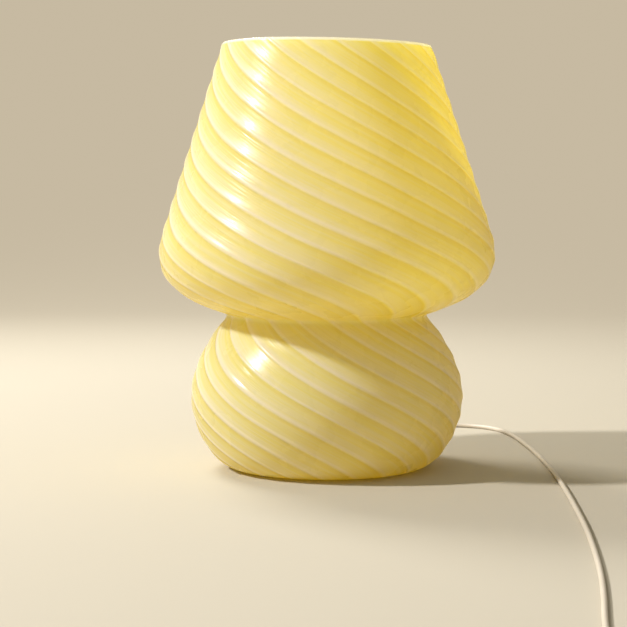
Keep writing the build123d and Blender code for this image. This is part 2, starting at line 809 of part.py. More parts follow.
def tail_route():
    """From the switch down to the coil's first turn."""
    start = SWITCH_CENTRE_X - SWITCH_END
    end = COIL_CENTRE_X + CORD_DIAMETER
    return [
        (start, FRONT_LINE_Y, SWITCH_CORD_Z),
        (start - 0.25 * (start - end), FRONT_LINE_Y, SWITCH_CORD_Z),
        (start - 0.65 * (start - end), FRONT_LINE_Y, FLOOR_LIE),
        (end, FRONT_LINE_Y, FLOOR_LIE),
    ]


COIL_PITCH = CORD_DIAMETER + COIL_GAP
COIL_TOP_Z = FLOOR_LIE + COIL_PITCH
PLUG_CORD_Z = PLUG_THICKNESS / 2
PLUG_RELIEF_X = COIL_CENTRE_X - COIL_OUTER_RADIUS - COIL_TO_PLUG


def end_route():
    """From the coil's last turn across to the plug."""
    start = COIL_CENTRE_X - CORD_DIAMETER
    span = start - PLUG_RELIEF_X
    return [
        (start, FRONT_LINE_Y, COIL_TOP_Z),
        (start - 0.4 * span, FRONT_LINE_Y, COIL_TOP_Z),
        (start - 0.72 * span, FRONT_LINE_Y, PLUG_CORD_Z),
        (PLUG_RELIEF_X, FRONT_LINE_Y, PLUG_CORD_Z),
    ]


def coil_half_turns():
    """The coil as (start, middle, end) of half turns, in for one layer, up, and out again for the next."""
    inward = 2 * COIL_TURNS_PER_LAYER - 1
    outward = inward + 1
    step = COIL_PITCH / 2
    radii = [COIL_OUTER_RADIUS - k * step for k in range(inward + 1)]
    radii += [radii[-1] + (k + 1) * step for k in range(outward)]
    y, z, side = FRONT_LINE_Y, FLOOR_LIE, 1
    turns = []
    for number, radius in enumerate(radii):
        rise = COIL_PITCH if number == inward else 0.0
        end_y = y + side * 2 * radius
        bulge = math.hypot(radius, rise / 2)
        start = Vector(COIL_CENTRE_X, y, z)
        middle = Vector(COIL_CENTRE_X - side * bulge, (y + end_y) / 2, z + rise / 2)
        end = Vector(COIL_CENTRE_X, end_y, z + rise)
        turns.append((start, middle, end))
        y, z, side = end_y, z + rise, -side
    return turns


def least_gap(edges, samples):
    """The smallest clear space between stretches of the coil's cord that aren't neighbours."""
    points = [edge @ (k / samples) for edge in edges for k in range(samples)]
    skip = samples
    nearest = min(
        (a - b).length
        for i, a in enumerate(points)
        for b in points[i + skip :]
    )
    return nearest - CORD_DIAMETER


def cord_coil():
    """The put-away length: two layers of turns, with straight ends one diameter long."""
    turns = coil_half_turns()
    edges = [Edge.make_three_point_arc(*turn) for turn in turns]
    lead = Vector(CORD_DIAMETER, 0, 0)
    first, last = turns[0][0], turns[-1][2]
    path = [Edge.make_line(first + lead, first), *edges, Edge.make_line(last, last - lead)]
    flat = RegularPolygon(CORD_RADIUS, CORD_SIDES)
    section = Plane(origin=first + lead, z_dir=(-1, 0, 0)) * flat
    wire = Wire(path)
    coil = sweep(section, path=wire)
    expected = flat.area * wire.length
    print("cord_coil", f"length {wire.length:.1f} mm, volume {coil.volume / expected:.4f}")
    print("cord_coil", f"least gap to itself {least_gap(edges, 24):.2f} mm")
    return coil


# ---------------------------------------------------------------- in-line switch
def on_switch(shape, z=0.0):
    """Carry a shape from the switch's own centre to where the switch lies."""
    return Pos(SWITCH_CENTRE_X, FRONT_LINE_Y, z) * shape


def switch_outline(inset):
    """The switch seen from above: long sides with rounded ends."""
    length = SWITCH_LENGTH - 2 * inset
    width = SWITCH_WIDTH - 2 * inset
    return RectangleRounded(length, width, 0.42 * width)


def cord_notches():
    """Room for the cord to enter at both ends, on the line where the two shells meet."""
    reach = Cylinder(CORD_RADIUS + CORD_SLIP_CLEARANCE, SWITCH_LENGTH + 2 * SWITCH_WALL)
    return Pos(0, 0, SWITCH_CORD_Z) * Rot(0, 90, 0) * reach


SCREW_REACH = SWITCH_LENGTH / 2 - 3.4 * SWITCH_WALL
SCREW_OFFSET_Y = 0.22 * SWITCH_WIDTH
PIVOT_Z = SWITCH_HEIGHT - ROCKER_PIVOT_BELOW_TOP


def screw_posts(low, high):
    """The two posts that the screws run through."""
    post = extrude(Circle(SCREW_POST_RADIUS), high - low)
    return [Pos(side * SCREW_REACH, side * SCREW_OFFSET_Y, low) * post for side in (-1, 1)]


def screw_bores(radius, low, high):
    """Straight holes on the two screws' lines."""
    bore = extrude(Circle(radius), high - low)
    return [Pos(side * SCREW_REACH, side * SCREW_OFFSET_Y, low) * bore for side in (-1, 1)]


def switch_base():
    """Lower shell: a tray with screw posts, a bar pivot ridge and wire stops."""
    tray = extrude(switch_outline(0), SWITCH_CORD_Z)
    tray = chamfer(tray.faces().sort_by(Axis.Z)[0].edges(), 1.0)
    hollow = Pos(0, 0, SWITCH_WALL) * extrude(switch_outline(SWITCH_WALL), SWITCH_HEIGHT)
    base = tray - hollow
    for post in screw_posts(SWITCH_WALL / 2, SWITCH_CORD_Z):
        base += post
    for bore in screw_bores(SCREW_RADIUS + THREAD_CLEARANCE, -1.0, SWITCH_HEIGHT):
        base -= bore
    for sink in screw_bores(2 * SCREW_RADIUS + THREAD_CLEARANCE, -1.0, SWITCH_WALL):
        base -= sink
    return on_switch(base - cord_notches())


def switch_cover():
    """Upper shell: a crowned lid with the window for the rocker and two ears that hold its pin."""
    low, high = SWITCH_CORD_Z, SWITCH_HEIGHT
    lid = Pos(0, 0, low) * extrude(switch_outline(0), high - low)
    lid = fillet(lid.faces().sort_by(Axis.Z)[-1].edges(), 2.4)
    hollow = Pos(0, 0, low - 1.0) * extrude(switch_outline(SWITCH_WALL), high - low + 1.0 - SWITCH_WALL)
    cover = lid - hollow
    ear_y = ROCKER_WIDTH / 2 + ROCKER_GAP
    ear_width = 2 * (ROCKER_PIN_RADIUS + EAR_MARGIN)
    ear = standing_box(ear_width, SWITCH_WALL, PIVOT_Z + 2 * EAR_MARGIN - low)
    for side in (-1, 1):
        cover += Pos(0, side * (ear_y + SWITCH_WALL / 2), low) * ear
    for post in screw_posts(low, high - SWITCH_WALL / 2):
        cover += post
    window_depth = 2 * (ROCKER_PIVOT_BELOW_TOP + 2 * EAR_MARGIN)
    cover -= Pos(0, 0, high) * Box(2 * (ROCKER_RADIUS + ROCKER_GAP), 2 * ear_y, window_depth)
    pin_room = 2 * (ear_y + SWITCH_WALL + THREAD_CLEARANCE)
    pin_bore = Cylinder(ROCKER_PIN_RADIUS + THREAD_CLEARANCE / 2, pin_room)
    cover -= Pos(0, 0, PIVOT_Z) * Rot(90, 0, 0) * pin_bore
    for bore in screw_bores(SCREW_RADIUS, low - 1.0, high - SWITCH_WALL):
        cover -= bore
    return on_switch(cover - cord_notches())


def switch_rocker():
    """Rocker with a dished top, its pin and the pusher under it, tilted to the off side."""
    reach = ROCKER_RADIUS
    half = ROCKER_WIDTH / 2
    high, low = ROCKER_END_HEIGHT, ROCKER_UNDERSIDE
    middle = Vector(0, 0, ROCKER_PIVOT_BELOW_TOP + ROCKER_DISH)
    dish = Edge.make_three_point_arc(Vector(-reach, 0, high), middle, Vector(reach, 0, high))
    outline = Wire(
        [
            dish,
            straight((reach, high), (reach, low)),
            straight((reach, low), (-reach, low)),
            straight((-reach, low), (-reach, high)),
        ]
    )
    block = Pos(0, half, 0) * extrude(Face(outline), ROCKER_WIDTH, dir=(0, -1, 0))
    drum = Rot(90, 0, 0) * Cylinder(reach, ROCKER_WIDTH)
    block &= drum
    pin_length = ROCKER_WIDTH + 2 * ROCKER_GAP + 2 * SWITCH_WALL
    block += Rot(90, 0, 0) * Cylinder(ROCKER_PIN_RADIUS, pin_length)
    return on_switch(Rot(0, -ROCKER_TILT, 0) * block, PIVOT_Z)


def rocker_pusher():
    """Sprung steel finger under the rocker that tips the contact bar."""
    top = ROCKER_UNDERSIDE
    radius = PUSHER_RADIUS
    tip = CONTACT_BAR_Z + CONTACT_BAR_THICKNESS / 2 + PUSHER_GAP - PIVOT_Z
    finger = spin([(0, tip), (0.5 * radius, tip), (radius, tip + 0.6 * radius), (radius, top), (0, top)])
    return on_switch(Rot(0, -ROCKER_TILT, 0) * finger, PIVOT_Z)


def contact_bar():
    """See-saw bar of brass, rolled round its pivot, with a contact button at each end."""
    half = CONTACT_BAR_THICKNESS / 2
    bar = Box(CONTACT_BAR_LENGTH, CONTACT_BAR_WIDTH, CONTACT_BAR_THICKNESS)
    bar = fillet(bar.edges().filter_by(Axis.Z), CONTACT_BAR_WIDTH / 4)
    button = extrude(Circle(CONTACT_BAR_WIDTH / 4), half / 2)
    button_reach = CONTACT_BAR_LENGTH / 2 - CONTACT_BAR_WIDTH / 2
    for side in (-1, 1):
        bar += Pos(side * button_reach, 0, -1.5 * half) * button
    bar += Rot(90, 0, 0) * Cylinder(BAR_ROLL_RADIUS, CONTACT_BAR_WIDTH)
    return on_switch(Rot(0, CONTACT_BAR_TILT, 0) * bar, CONTACT_BAR_Z)


def terminal_block():
    """Brass block with a wire hole and a slotted clamping screw."""
    block = standing_box(TERMINAL_LENGTH, TERMINAL_WIDTH, TERMINAL_LENGTH)
    block -= Pos(0, 0, TERMINAL_LENGTH / 2) * Rot(0, 90, 0) * Cylinder(1.0, 2 * TERMINAL_LENGTH)
    screw = Pos(0, 0, TERMINAL_LENGTH) * extrude(Circle(1.5), 1.0)
    screw -= Pos(0, 0, TERMINAL_LENGTH + 1.0) * Box(4.0, 0.5, 0.8)
    return block + screw


def switch_terminals():
    """Two brass terminals: one runs to the bar's pivot ridge, the other to the fixed contact."""
    low = SWITCH_WALL
    bar_under = CONTACT_BAR_Z - CONTACT_BAR_THICKNESS / 2
    dip = CONTACT_BAR_LENGTH / 2 * math.sin(math.radians(CONTACT_BAR_TILT))
    ridge_top = CONTACT_BAR_Z - BAR_ROLL_RADIUS - RIDGE_GAP
    strip = CONTACT_BAR_THICKNESS
    reach = TERMINAL_REACH
    pivot_side = Pos(reach, 0, low) * terminal_block()
    pivot_side += Pos(reach / 2 - 0.5, 0, low + strip / 2) * Box(reach + 1, CONTACT_BAR_WIDTH, strip)
    ridge = Polyline((-1.2, 0, low), (1.2, 0, low), (0.2, 0, ridge_top), (-0.2, 0, ridge_top), close=True)
    half = CONTACT_BAR_WIDTH / 2
    pivot_side += Pos(0, half, 0) * extrude(make_face(ridge), CONTACT_BAR_WIDTH, dir=(0, -1, 0))
    anvil_top = bar_under - CONTACT_BAR_THICKNESS / 4 - dip - RIDGE_GAP
    anvil_length = reach - CONTACT_BAR_LENGTH / 3
    anvil = standing_box(anvil_length, CONTACT_BAR_WIDTH, anvil_top - low)
    anvil = Pos(anvil_length / 2, 0, 0) * anvil
    contact_side = Pos(-reach, 0, low) * (terminal_block() + anvil)
    return group(on_switch(part) for part in (pivot_side, contact_side))


def cord_clamps():
    """Bridges over the cord ends that keep a pull off the terminals."""
    inner = CORD_DIAMETER / 2 + CORD_SLIP_CLEARANCE
    outer = inner + 2.0
    top = SWITCH_CORD_Z + inner + 1.6
    bridge = standing_box(CLAMP_LENGTH, 2 * outer, top - SWITCH_WALL)
    gap = standing_box(2 * CLAMP_LENGTH, 2 * inner, SWITCH_CORD_Z + inner - SWITCH_WALL)
    clamp = Pos(0, 0, SWITCH_WALL) * (bridge - gap)
    return group(on_switch(Pos(side * CLAMP_REACH, 0, 0) * clamp) for side in (-1, 1))


def switch_leads():
    """The ends of the cord inside the switch, under the clamps."""
    length = SWITCH_LENGTH / 2 - CLAMP_REACH + CLAMP_LENGTH / 2
    lead = Rot(0, 90, 0) * Cylinder(CORD_RADIUS, length)
    middle = SWITCH_LENGTH / 2 - length / 2
    return group(on_switch(Pos(side * middle, 0, SWITCH_CORD_Z) * lead) for side in (-1, 1))


def switch_screws():
    """Countersunk screws that close the switch from below."""
    head = 2 * SCREW_RADIUS
    top = SWITCH_HEIGHT - SWITCH_WALL - 2.0
    low = 0.3
    cone = [(head, low + 0.6), (SCREW_RADIUS, low + 1.1)]
    body = spin([(0, low), (head, low), *cone, (SCREW_RADIUS, top), (0, top)])
    for turn in (0, 90):
        body -= Pos(0, 0, low) * Rot(0, 0, turn) * Box(3.2, 0.6, 1.2)
    turned = [Pos(side * SCREW_REACH, side * SCREW_OFFSET_Y, 0) * body for side in (-1, 1)]
    return group(on_switch(screw) for screw in turned)


def switch_reliefs():
    """Short tapered sleeves where the cord enters the switch."""
    wide, narrow = CORD_RADIUS + 1.5, CORD_RADIUS + 0.5
    sleeve = spin([(0, 0), (wide, 0), (narrow, SWITCH_RELIEF_LENGTH), (0, SWITCH_RELIEF_LENGTH)])
    half = SWITCH_LENGTH / 2
    right = Pos(half, 0, SWITCH_CORD_Z) * Rot(0, 90, 0) * sleeve
    left = Pos(-half, 0, SWITCH_CORD_Z) * Rot(0, -90, 0) * sleeve
    return group(on_switch(part) for part in (right, left))


# ---------------------------------------------------------------- plug
PLUG_REAR_X = PLUG_RELIEF_X - PLUG_RELIEF_LENGTH
PLUG_FACE_X = PLUG_REAR_X - PLUG_LENGTH


def plug_section(x, width, thickness):
    """One cross-section of the plug: a flat six-sided shape with its corners rounded."""
    half_w, half_t = width / 2, thickness / 2
    flat = half_w - 0.62 * half_t
    right = [(flat, half_t), (half_w, 0), (flat, -half_t)]
    left = [(-across, -up) for across, up in right]
    outline = make_face(Polyline(*right, *left, close=True))
    rounded = fillet(outline.vertices(), 1.6)
    at = (x, FRONT_LINE_Y, PLUG_CORD_Z)
    return Plane(origin=at, x_dir=(0, 1, 0), z_dir=(-1, 0, 0)) * rounded


def plug_body():
    """Flat moulded body that widens from the cord to the pins."""
    waist_x = PLUG_REAR_X - 0.55 * PLUG_LENGTH
    sections = [
        plug_section(PLUG_REAR_X, PLUG_REAR_WIDTH, PLUG_REAR_THICKNESS),
        plug_section(waist_x, 0.78 * PLUG_WIDTH, PLUG_THICKNESS - 0.6),
        plug_section(PLUG_FACE_X, PLUG_WIDTH, PLUG_THICKNESS),
    ]
    return loft(sections, ruled=True)


def plug_relief():
    """Tapered sleeve behind the plug, cut by rings so that it bends."""
    root, tip = 4.6, CORD_RADIUS + 0.7
    sleeve = spin([(0, 0), (root, 0), (tip, PLUG_RELIEF_LENGTH), (0, PLUG_RELIEF_LENGTH)])
    count = 5
    for k in range(count):
        z = PLUG_RELIEF_LENGTH * (0.2 + 0.14 * k)
        radius = root + (tip - root) * z / PLUG_RELIEF_LENGTH
        sleeve -= Pos(0, 0, z) * extrude(Circle(root + 1) - Circle(radius - 0.7), 1.6)
    return Pos(PLUG_REAR_X, FRONT_LINE_Y, PLUG_CORD_Z) * Rot(0, 90, 0) * sleeve


def pin_places():
    """Where the two pins stand on the plug's face."""
    return [FRONT_LINE_Y + side * PIN_SPACING / 2 for side in (-1, 1)]


def plug_pins():
    """Round bare metal pins with domed tips, necked inside their sleeves."""
    neck = PIN_SLEEVE_RADIUS - PIN_SLEEVE_WALL
    pin = spin(
        [
            (0, 0),
            (neck, 0),
            (neck, PIN_SLEEVE_LENGTH),
            (PIN_RADIUS, PIN_SLEEVE_LENGTH),
            (PIN_RADIUS, PIN_LENGTH - PIN_TIP_LENGTH),
            (PIN_RADIUS - PIN_TIP_INSET, PIN_LENGTH),
            (0, PIN_LENGTH),
        ]
    )
    return group(Pos(PLUG_FACE_X, y, PLUG_CORD_Z) * Rot(0, -90, 0) * pin for y in pin_places())


def pin_sleeves():
    """Insulating sleeves round the root of each pin."""
    sleeve = ring(PIN_SLEEVE_RADIUS, PIN_SLEEVE_RADIUS - PIN_SLEEVE_WALL, 0, PIN_SLEEVE_LENGTH)
    return group(Pos(PLUG_FACE_X, y, PLUG_CORD_Z) * Rot(0, -90, 0) * sleeve for y in pin_places())


# ---------------------------------------------------------------- the pieces
def washer(radius, levels):
    """A round washer on the threaded tube."""
    return ring(radius, THREAD_TUBE_RADIUS + THREAD_CLEARANCE, *levels)


def build():
    """Make every piece and write it."""
    shade, base = at_the_crease(glass_body())
    pieces = {
        "glass_shade": shade,
        "glass_base": base,
        "foot_pads": foot_pads(),
        "fixing_nut": hex_nut(),
        "lower_steel_washer": washer(STEEL_WASHER_RADIUS, LOWER_STEEL),
        "lower_rubber_washer": washer(RUBBER_WASHER_RADIUS, LOWER_RUBBER),
        "upper_rubber_washer": washer(RUBBER_WASHER_RADIUS, UPPER_RUBBER),
        "upper_steel_washer": washer(STEEL_WASHER_RADIUS, UPPER_STEEL),
        "lower_threaded_tube": lower_tube(),
        "upper_threaded_tube": upper_tube(),
        "side_outlet_coupling": side_outlet_coupling(),
        "holder_cap": holder_cap(),
        "holder_sleeve": holder_sleeve(),
        "holder_insert": holder_insert(),
        "socket_shell": socket_shell(),
        "holder_grub_screw": grub_screw(),
        "centre_contact": centre_contact(),
        "terminal_screws": terminal_screws(),
        "bulb_globe": bulb_globe(),
        "bulb_collar": bulb_collar(),
        "bulb_cap": bulb_cap(),
        "bulb_insulator": bulb_insulator(),
        "bulb_tip": bulb_tip(),
        "cord_grommet": cord_grommet(),
        "inner_cord": inner_cord(),
        "core_wires": core_wires(),
        "cord_run": tube_along(run_route(), CORD_RADIUS, "cord_run"),
        "cord_tail": tube_along(tail_route(), CORD_RADIUS, "cord_tail"),
        "cord_coil": cord_coil(),
        "cord_end": tube_along(end_route(), CORD_RADIUS, "cord_end"),
        "switch_base": switch_base(),
        "switch_cover": switch_cover(),
        "switch_rocker": switch_rocker(),
        "rocker_pusher": rocker_pusher(),
        "contact_bar": contact_bar(),
        "switch_terminals": switch_terminals(),
        "cord_clamps": cord_clamps(),
        "switch_leads": switch_leads(),
        "switch_screws": switch_screws(),
        "switch_reliefs": switch_reliefs(),
        "plug_body": plug_body(),
        "plug_relief": plug_relief(),
        "plug_pins": plug_pins(),
        "pin_sleeves": pin_sleeves(),
    }
    for name, shape in pieces.items():
        save(shape, name)


build()
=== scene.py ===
"""Visual model of a mushroom table lamp in one-piece swirled glass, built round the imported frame.

Metres, +Z up, in the frame of the solids. Each sub-assembly is a class that builds its meshes and
dresses them; each finish is a frozen dataclass that makes its own procedural material.
"""

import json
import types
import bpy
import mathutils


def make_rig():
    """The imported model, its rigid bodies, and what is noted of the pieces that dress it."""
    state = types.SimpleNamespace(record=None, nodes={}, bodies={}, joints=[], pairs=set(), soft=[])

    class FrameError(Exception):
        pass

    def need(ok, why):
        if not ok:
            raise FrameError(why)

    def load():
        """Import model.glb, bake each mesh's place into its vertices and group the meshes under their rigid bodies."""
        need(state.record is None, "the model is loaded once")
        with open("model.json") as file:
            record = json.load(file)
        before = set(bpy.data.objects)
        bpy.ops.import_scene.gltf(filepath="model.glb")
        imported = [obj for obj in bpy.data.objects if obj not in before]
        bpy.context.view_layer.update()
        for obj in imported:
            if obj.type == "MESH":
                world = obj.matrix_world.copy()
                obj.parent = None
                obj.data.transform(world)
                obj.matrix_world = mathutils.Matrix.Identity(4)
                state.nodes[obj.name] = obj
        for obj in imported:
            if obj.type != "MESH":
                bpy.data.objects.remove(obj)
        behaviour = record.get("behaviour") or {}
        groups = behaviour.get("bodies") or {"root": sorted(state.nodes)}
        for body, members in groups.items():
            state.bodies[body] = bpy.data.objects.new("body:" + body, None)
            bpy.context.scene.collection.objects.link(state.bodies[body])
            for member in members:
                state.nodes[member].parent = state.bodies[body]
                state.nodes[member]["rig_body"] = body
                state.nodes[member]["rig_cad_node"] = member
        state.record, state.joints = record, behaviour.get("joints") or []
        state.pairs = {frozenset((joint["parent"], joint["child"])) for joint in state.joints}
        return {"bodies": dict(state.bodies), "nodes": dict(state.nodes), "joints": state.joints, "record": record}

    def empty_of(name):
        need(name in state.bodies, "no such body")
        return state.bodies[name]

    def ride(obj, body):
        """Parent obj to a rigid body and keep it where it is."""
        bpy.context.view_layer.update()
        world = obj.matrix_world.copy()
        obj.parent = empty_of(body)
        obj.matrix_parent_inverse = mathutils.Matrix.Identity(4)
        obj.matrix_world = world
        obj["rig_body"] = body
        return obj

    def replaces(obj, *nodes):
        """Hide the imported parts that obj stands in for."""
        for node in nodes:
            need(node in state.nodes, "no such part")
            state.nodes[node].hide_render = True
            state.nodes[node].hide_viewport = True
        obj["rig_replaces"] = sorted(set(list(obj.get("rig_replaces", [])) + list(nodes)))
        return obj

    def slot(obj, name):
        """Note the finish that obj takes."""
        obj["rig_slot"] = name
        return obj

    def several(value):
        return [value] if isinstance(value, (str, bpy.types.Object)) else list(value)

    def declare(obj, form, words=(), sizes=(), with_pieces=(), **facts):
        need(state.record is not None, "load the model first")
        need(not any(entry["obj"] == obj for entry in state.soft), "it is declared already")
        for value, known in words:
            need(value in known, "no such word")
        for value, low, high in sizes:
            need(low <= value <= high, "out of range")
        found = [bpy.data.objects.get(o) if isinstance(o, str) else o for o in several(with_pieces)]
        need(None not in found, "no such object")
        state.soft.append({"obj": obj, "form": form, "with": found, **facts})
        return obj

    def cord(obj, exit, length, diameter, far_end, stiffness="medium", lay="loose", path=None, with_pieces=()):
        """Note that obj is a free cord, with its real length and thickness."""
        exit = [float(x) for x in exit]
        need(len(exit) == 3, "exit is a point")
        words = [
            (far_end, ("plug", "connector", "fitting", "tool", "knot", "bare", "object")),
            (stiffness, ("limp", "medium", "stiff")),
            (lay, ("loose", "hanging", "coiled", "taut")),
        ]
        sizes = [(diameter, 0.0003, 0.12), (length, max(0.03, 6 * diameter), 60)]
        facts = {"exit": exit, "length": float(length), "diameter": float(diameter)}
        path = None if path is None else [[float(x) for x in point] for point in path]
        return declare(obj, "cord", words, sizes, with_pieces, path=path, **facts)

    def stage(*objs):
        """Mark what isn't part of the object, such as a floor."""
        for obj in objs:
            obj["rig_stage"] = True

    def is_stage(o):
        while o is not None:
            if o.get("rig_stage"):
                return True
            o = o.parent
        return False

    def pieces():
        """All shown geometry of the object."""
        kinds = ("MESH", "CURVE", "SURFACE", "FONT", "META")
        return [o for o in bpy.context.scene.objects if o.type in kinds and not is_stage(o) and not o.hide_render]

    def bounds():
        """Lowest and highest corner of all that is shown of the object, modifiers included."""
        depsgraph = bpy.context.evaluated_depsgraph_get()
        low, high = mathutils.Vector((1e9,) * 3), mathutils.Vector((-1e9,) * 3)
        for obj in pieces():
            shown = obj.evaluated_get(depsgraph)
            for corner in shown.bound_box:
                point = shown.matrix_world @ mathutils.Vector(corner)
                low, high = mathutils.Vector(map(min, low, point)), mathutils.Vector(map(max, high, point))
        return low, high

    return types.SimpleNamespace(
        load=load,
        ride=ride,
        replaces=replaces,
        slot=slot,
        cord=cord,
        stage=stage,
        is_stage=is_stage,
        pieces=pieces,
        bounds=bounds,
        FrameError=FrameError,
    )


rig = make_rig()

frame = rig.load()
CAD_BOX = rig.bounds()

import json
import logging
import math
from dataclasses import dataclass, replace
from enum import Enum
from typing import Iterable, Optional, Sequence, Union

import bmesh
import bpy
from mathutils import Matrix, Vector
from mathutils.geometry import interpolate_bezier

LOG = logging.getLogger("lamp")
MM = 0.001
TURN = 2 * math.pi
QUARTER = math.pi / 2

Point = tuple[float, float]
Place = tuple[float, float, float]
Colour = tuple[float, float, float]
Value = Union[float, "Wire"]


class Body(Enum):
    """The rigid bodies that the pieces made here ride on."""

    LAMP = "lamp"
    BULB = "bulb"


class Grain(Enum):
    """How a surface is broken up close to."""

    MOULDED = "moulded"
    BRUSHED = "brushed"
    CAST = "cast"


# ---------------------------------------------------------------- shader trees
class Wire:
    """A value on its way through a node tree: arithmetic on it adds Math nodes."""

    def __init__(self, tree: "Tree", socket: bpy.types.NodeSocket) -> None:
        """Keep the tree and the output that the value comes from."""
        self.tree = tree
        self.socket = socket

    def __add__(self, other: Value) -> "Wire":
        """The sum of two values."""
        return self.tree.math("ADD", self, other)

    def __sub__(self, other: Value) -> "Wire":
        """The first value less the second."""
        return self.tree.math("SUBTRACT", self, other)

    def __mul__(self, other: Value) -> "Wire":
        """The product of two values."""
        return self.tree.math("MULTIPLY", self, other)

    def __truediv__(self, other: Value) -> "Wire":
        """The first value divided by the second."""
        return self.tree.math("DIVIDE", self, other)


class Tree:
    """A node tree with short ways to add nodes and join them."""

    def __init__(self, tree: bpy.types.NodeTree) -> None:
        """Keep the node tree of a material, world or group."""
        self.tree = tree

    def add(self, kind: str, inputs: Optional[dict] = None, **settings: object) -> bpy.types.Node:
        """Add one node.

        Args:
            kind: the node's type name.
            inputs: values or wires by input name or number.
            settings: the node's own settings.

        Returns:
            The new node.
        """
        node = self.tree.nodes.new(kind)
        for name, value in settings.items():
            setattr(node, name, value)
        self.fill(node, inputs or {})
        return node

    def fill(self, node: bpy.types.Node, inputs: dict) -> None:
        """Set a node's inputs, or join wires to them.

        Args:
            node: the node.
            inputs: values or wires by input name or number; a colour has three numbers.
        """
        for key, value in inputs.items():
            socket = node.inputs[key]
            if isinstance(value, Wire):
                self.tree.links.new(value.socket, socket)
            else:
                socket.default_value = (*value, 1.0) if socket.type == "RGBA" else value

    def outs(self, node: bpy.types.Node) -> dict[str, Wire]:
        """A node's outputs by name."""
        return {socket.name: Wire(self, socket) for socket in node.outputs}

    def wire(self, kind: str, inputs: Optional[dict] = None, output: int = 0, **settings: object) -> Wire:
        """Add one node as add does, and return one of its outputs."""
        return Wire(self, self.add(kind, inputs, **settings).outputs[output])

    def math(self, operation: str, first: Value, second: Value = 0.0) -> Wire:
        """One calculation with one or two operands."""
        return self.wire("ShaderNodeMath", {0: first, 1: second, 2: 0.0}, operation=operation)

    def fade(self, value: Value, low: Value, high: Value, start: float = 0.0, end: float = 1.0) -> Wire:
        """Smooth step from start to end while value goes from low to high."""
        inputs = {0: value, 1: low, 2: high, 3: start, 4: end}
        return self.wire("ShaderNodeMapRange", inputs, interpolation_type="SMOOTHSTEP")

    def noise(self, vector: Wire, scale: Value, detail: float = 3.0, rough: float = 0.5) -> Wire:
        """Smooth noise about 0.5."""
        inputs = {"Vector": vector, "Scale": scale, "Detail": detail, "Roughness": rough}
        return self.wire("ShaderNodeTexNoise", inputs)

    def mix(self, share: Value, first: object, second: object, blend: str = "MIX") -> Wire:
        """Mix two colours by a share."""
        inputs = {0: share, 6: first, 7: second}
        return self.wire("ShaderNodeMix", inputs, output=2, data_type="RGBA", blend_type=blend)

    def layers(self, ground: object, coats: Sequence[tuple[Wire, Colour]]) -> Wire:
        """Lay colours over a ground, one after the other, each by its share."""
        for share, colour in coats:
            ground = self.mix(share, ground, colour)
        return ground

    def bump(self, height: Wire, depth: float, strength: float) -> Wire:
        """The slope of a relief that is depth metres deep."""
        return self.wire("ShaderNodeBump", {"Strength": strength, "Distance": depth, "Height": height})

    def blend(self, output: bpy.types.Node, share: Value, first: Wire, second: Wire) -> None:
        """Mix two shaders by a share, and give the result to the material's output."""
        self.fill(output, {"Surface": self.wire("ShaderNodeMixShader", {0: share, 1: first, 2: second})})

    def object_point(self) -> Wire:
        """The place on the piece, in metres."""
        return self.outs(self.add("ShaderNodeTexCoord"))["Object"]

    def split(self, point: Wire) -> dict[str, Wire]:
        """The X, Y and Z of a place."""
        return self.outs(self.add("ShaderNodeSeparateXYZ", {0: point}))

    def in_view(self) -> Wire:
        """One for what the camera or a reflection sees, nought for light that falls on things.

        Returns:
            The value, nought or one.
        """
        path = self.outs(self.add("ShaderNodeLightPath"))
        seen = self.math("MAXIMUM", path["Is Camera Ray"], path["Is Glossy Ray"])
        return self.math("MAXIMUM", seen, path["Is Transmission Ray"])


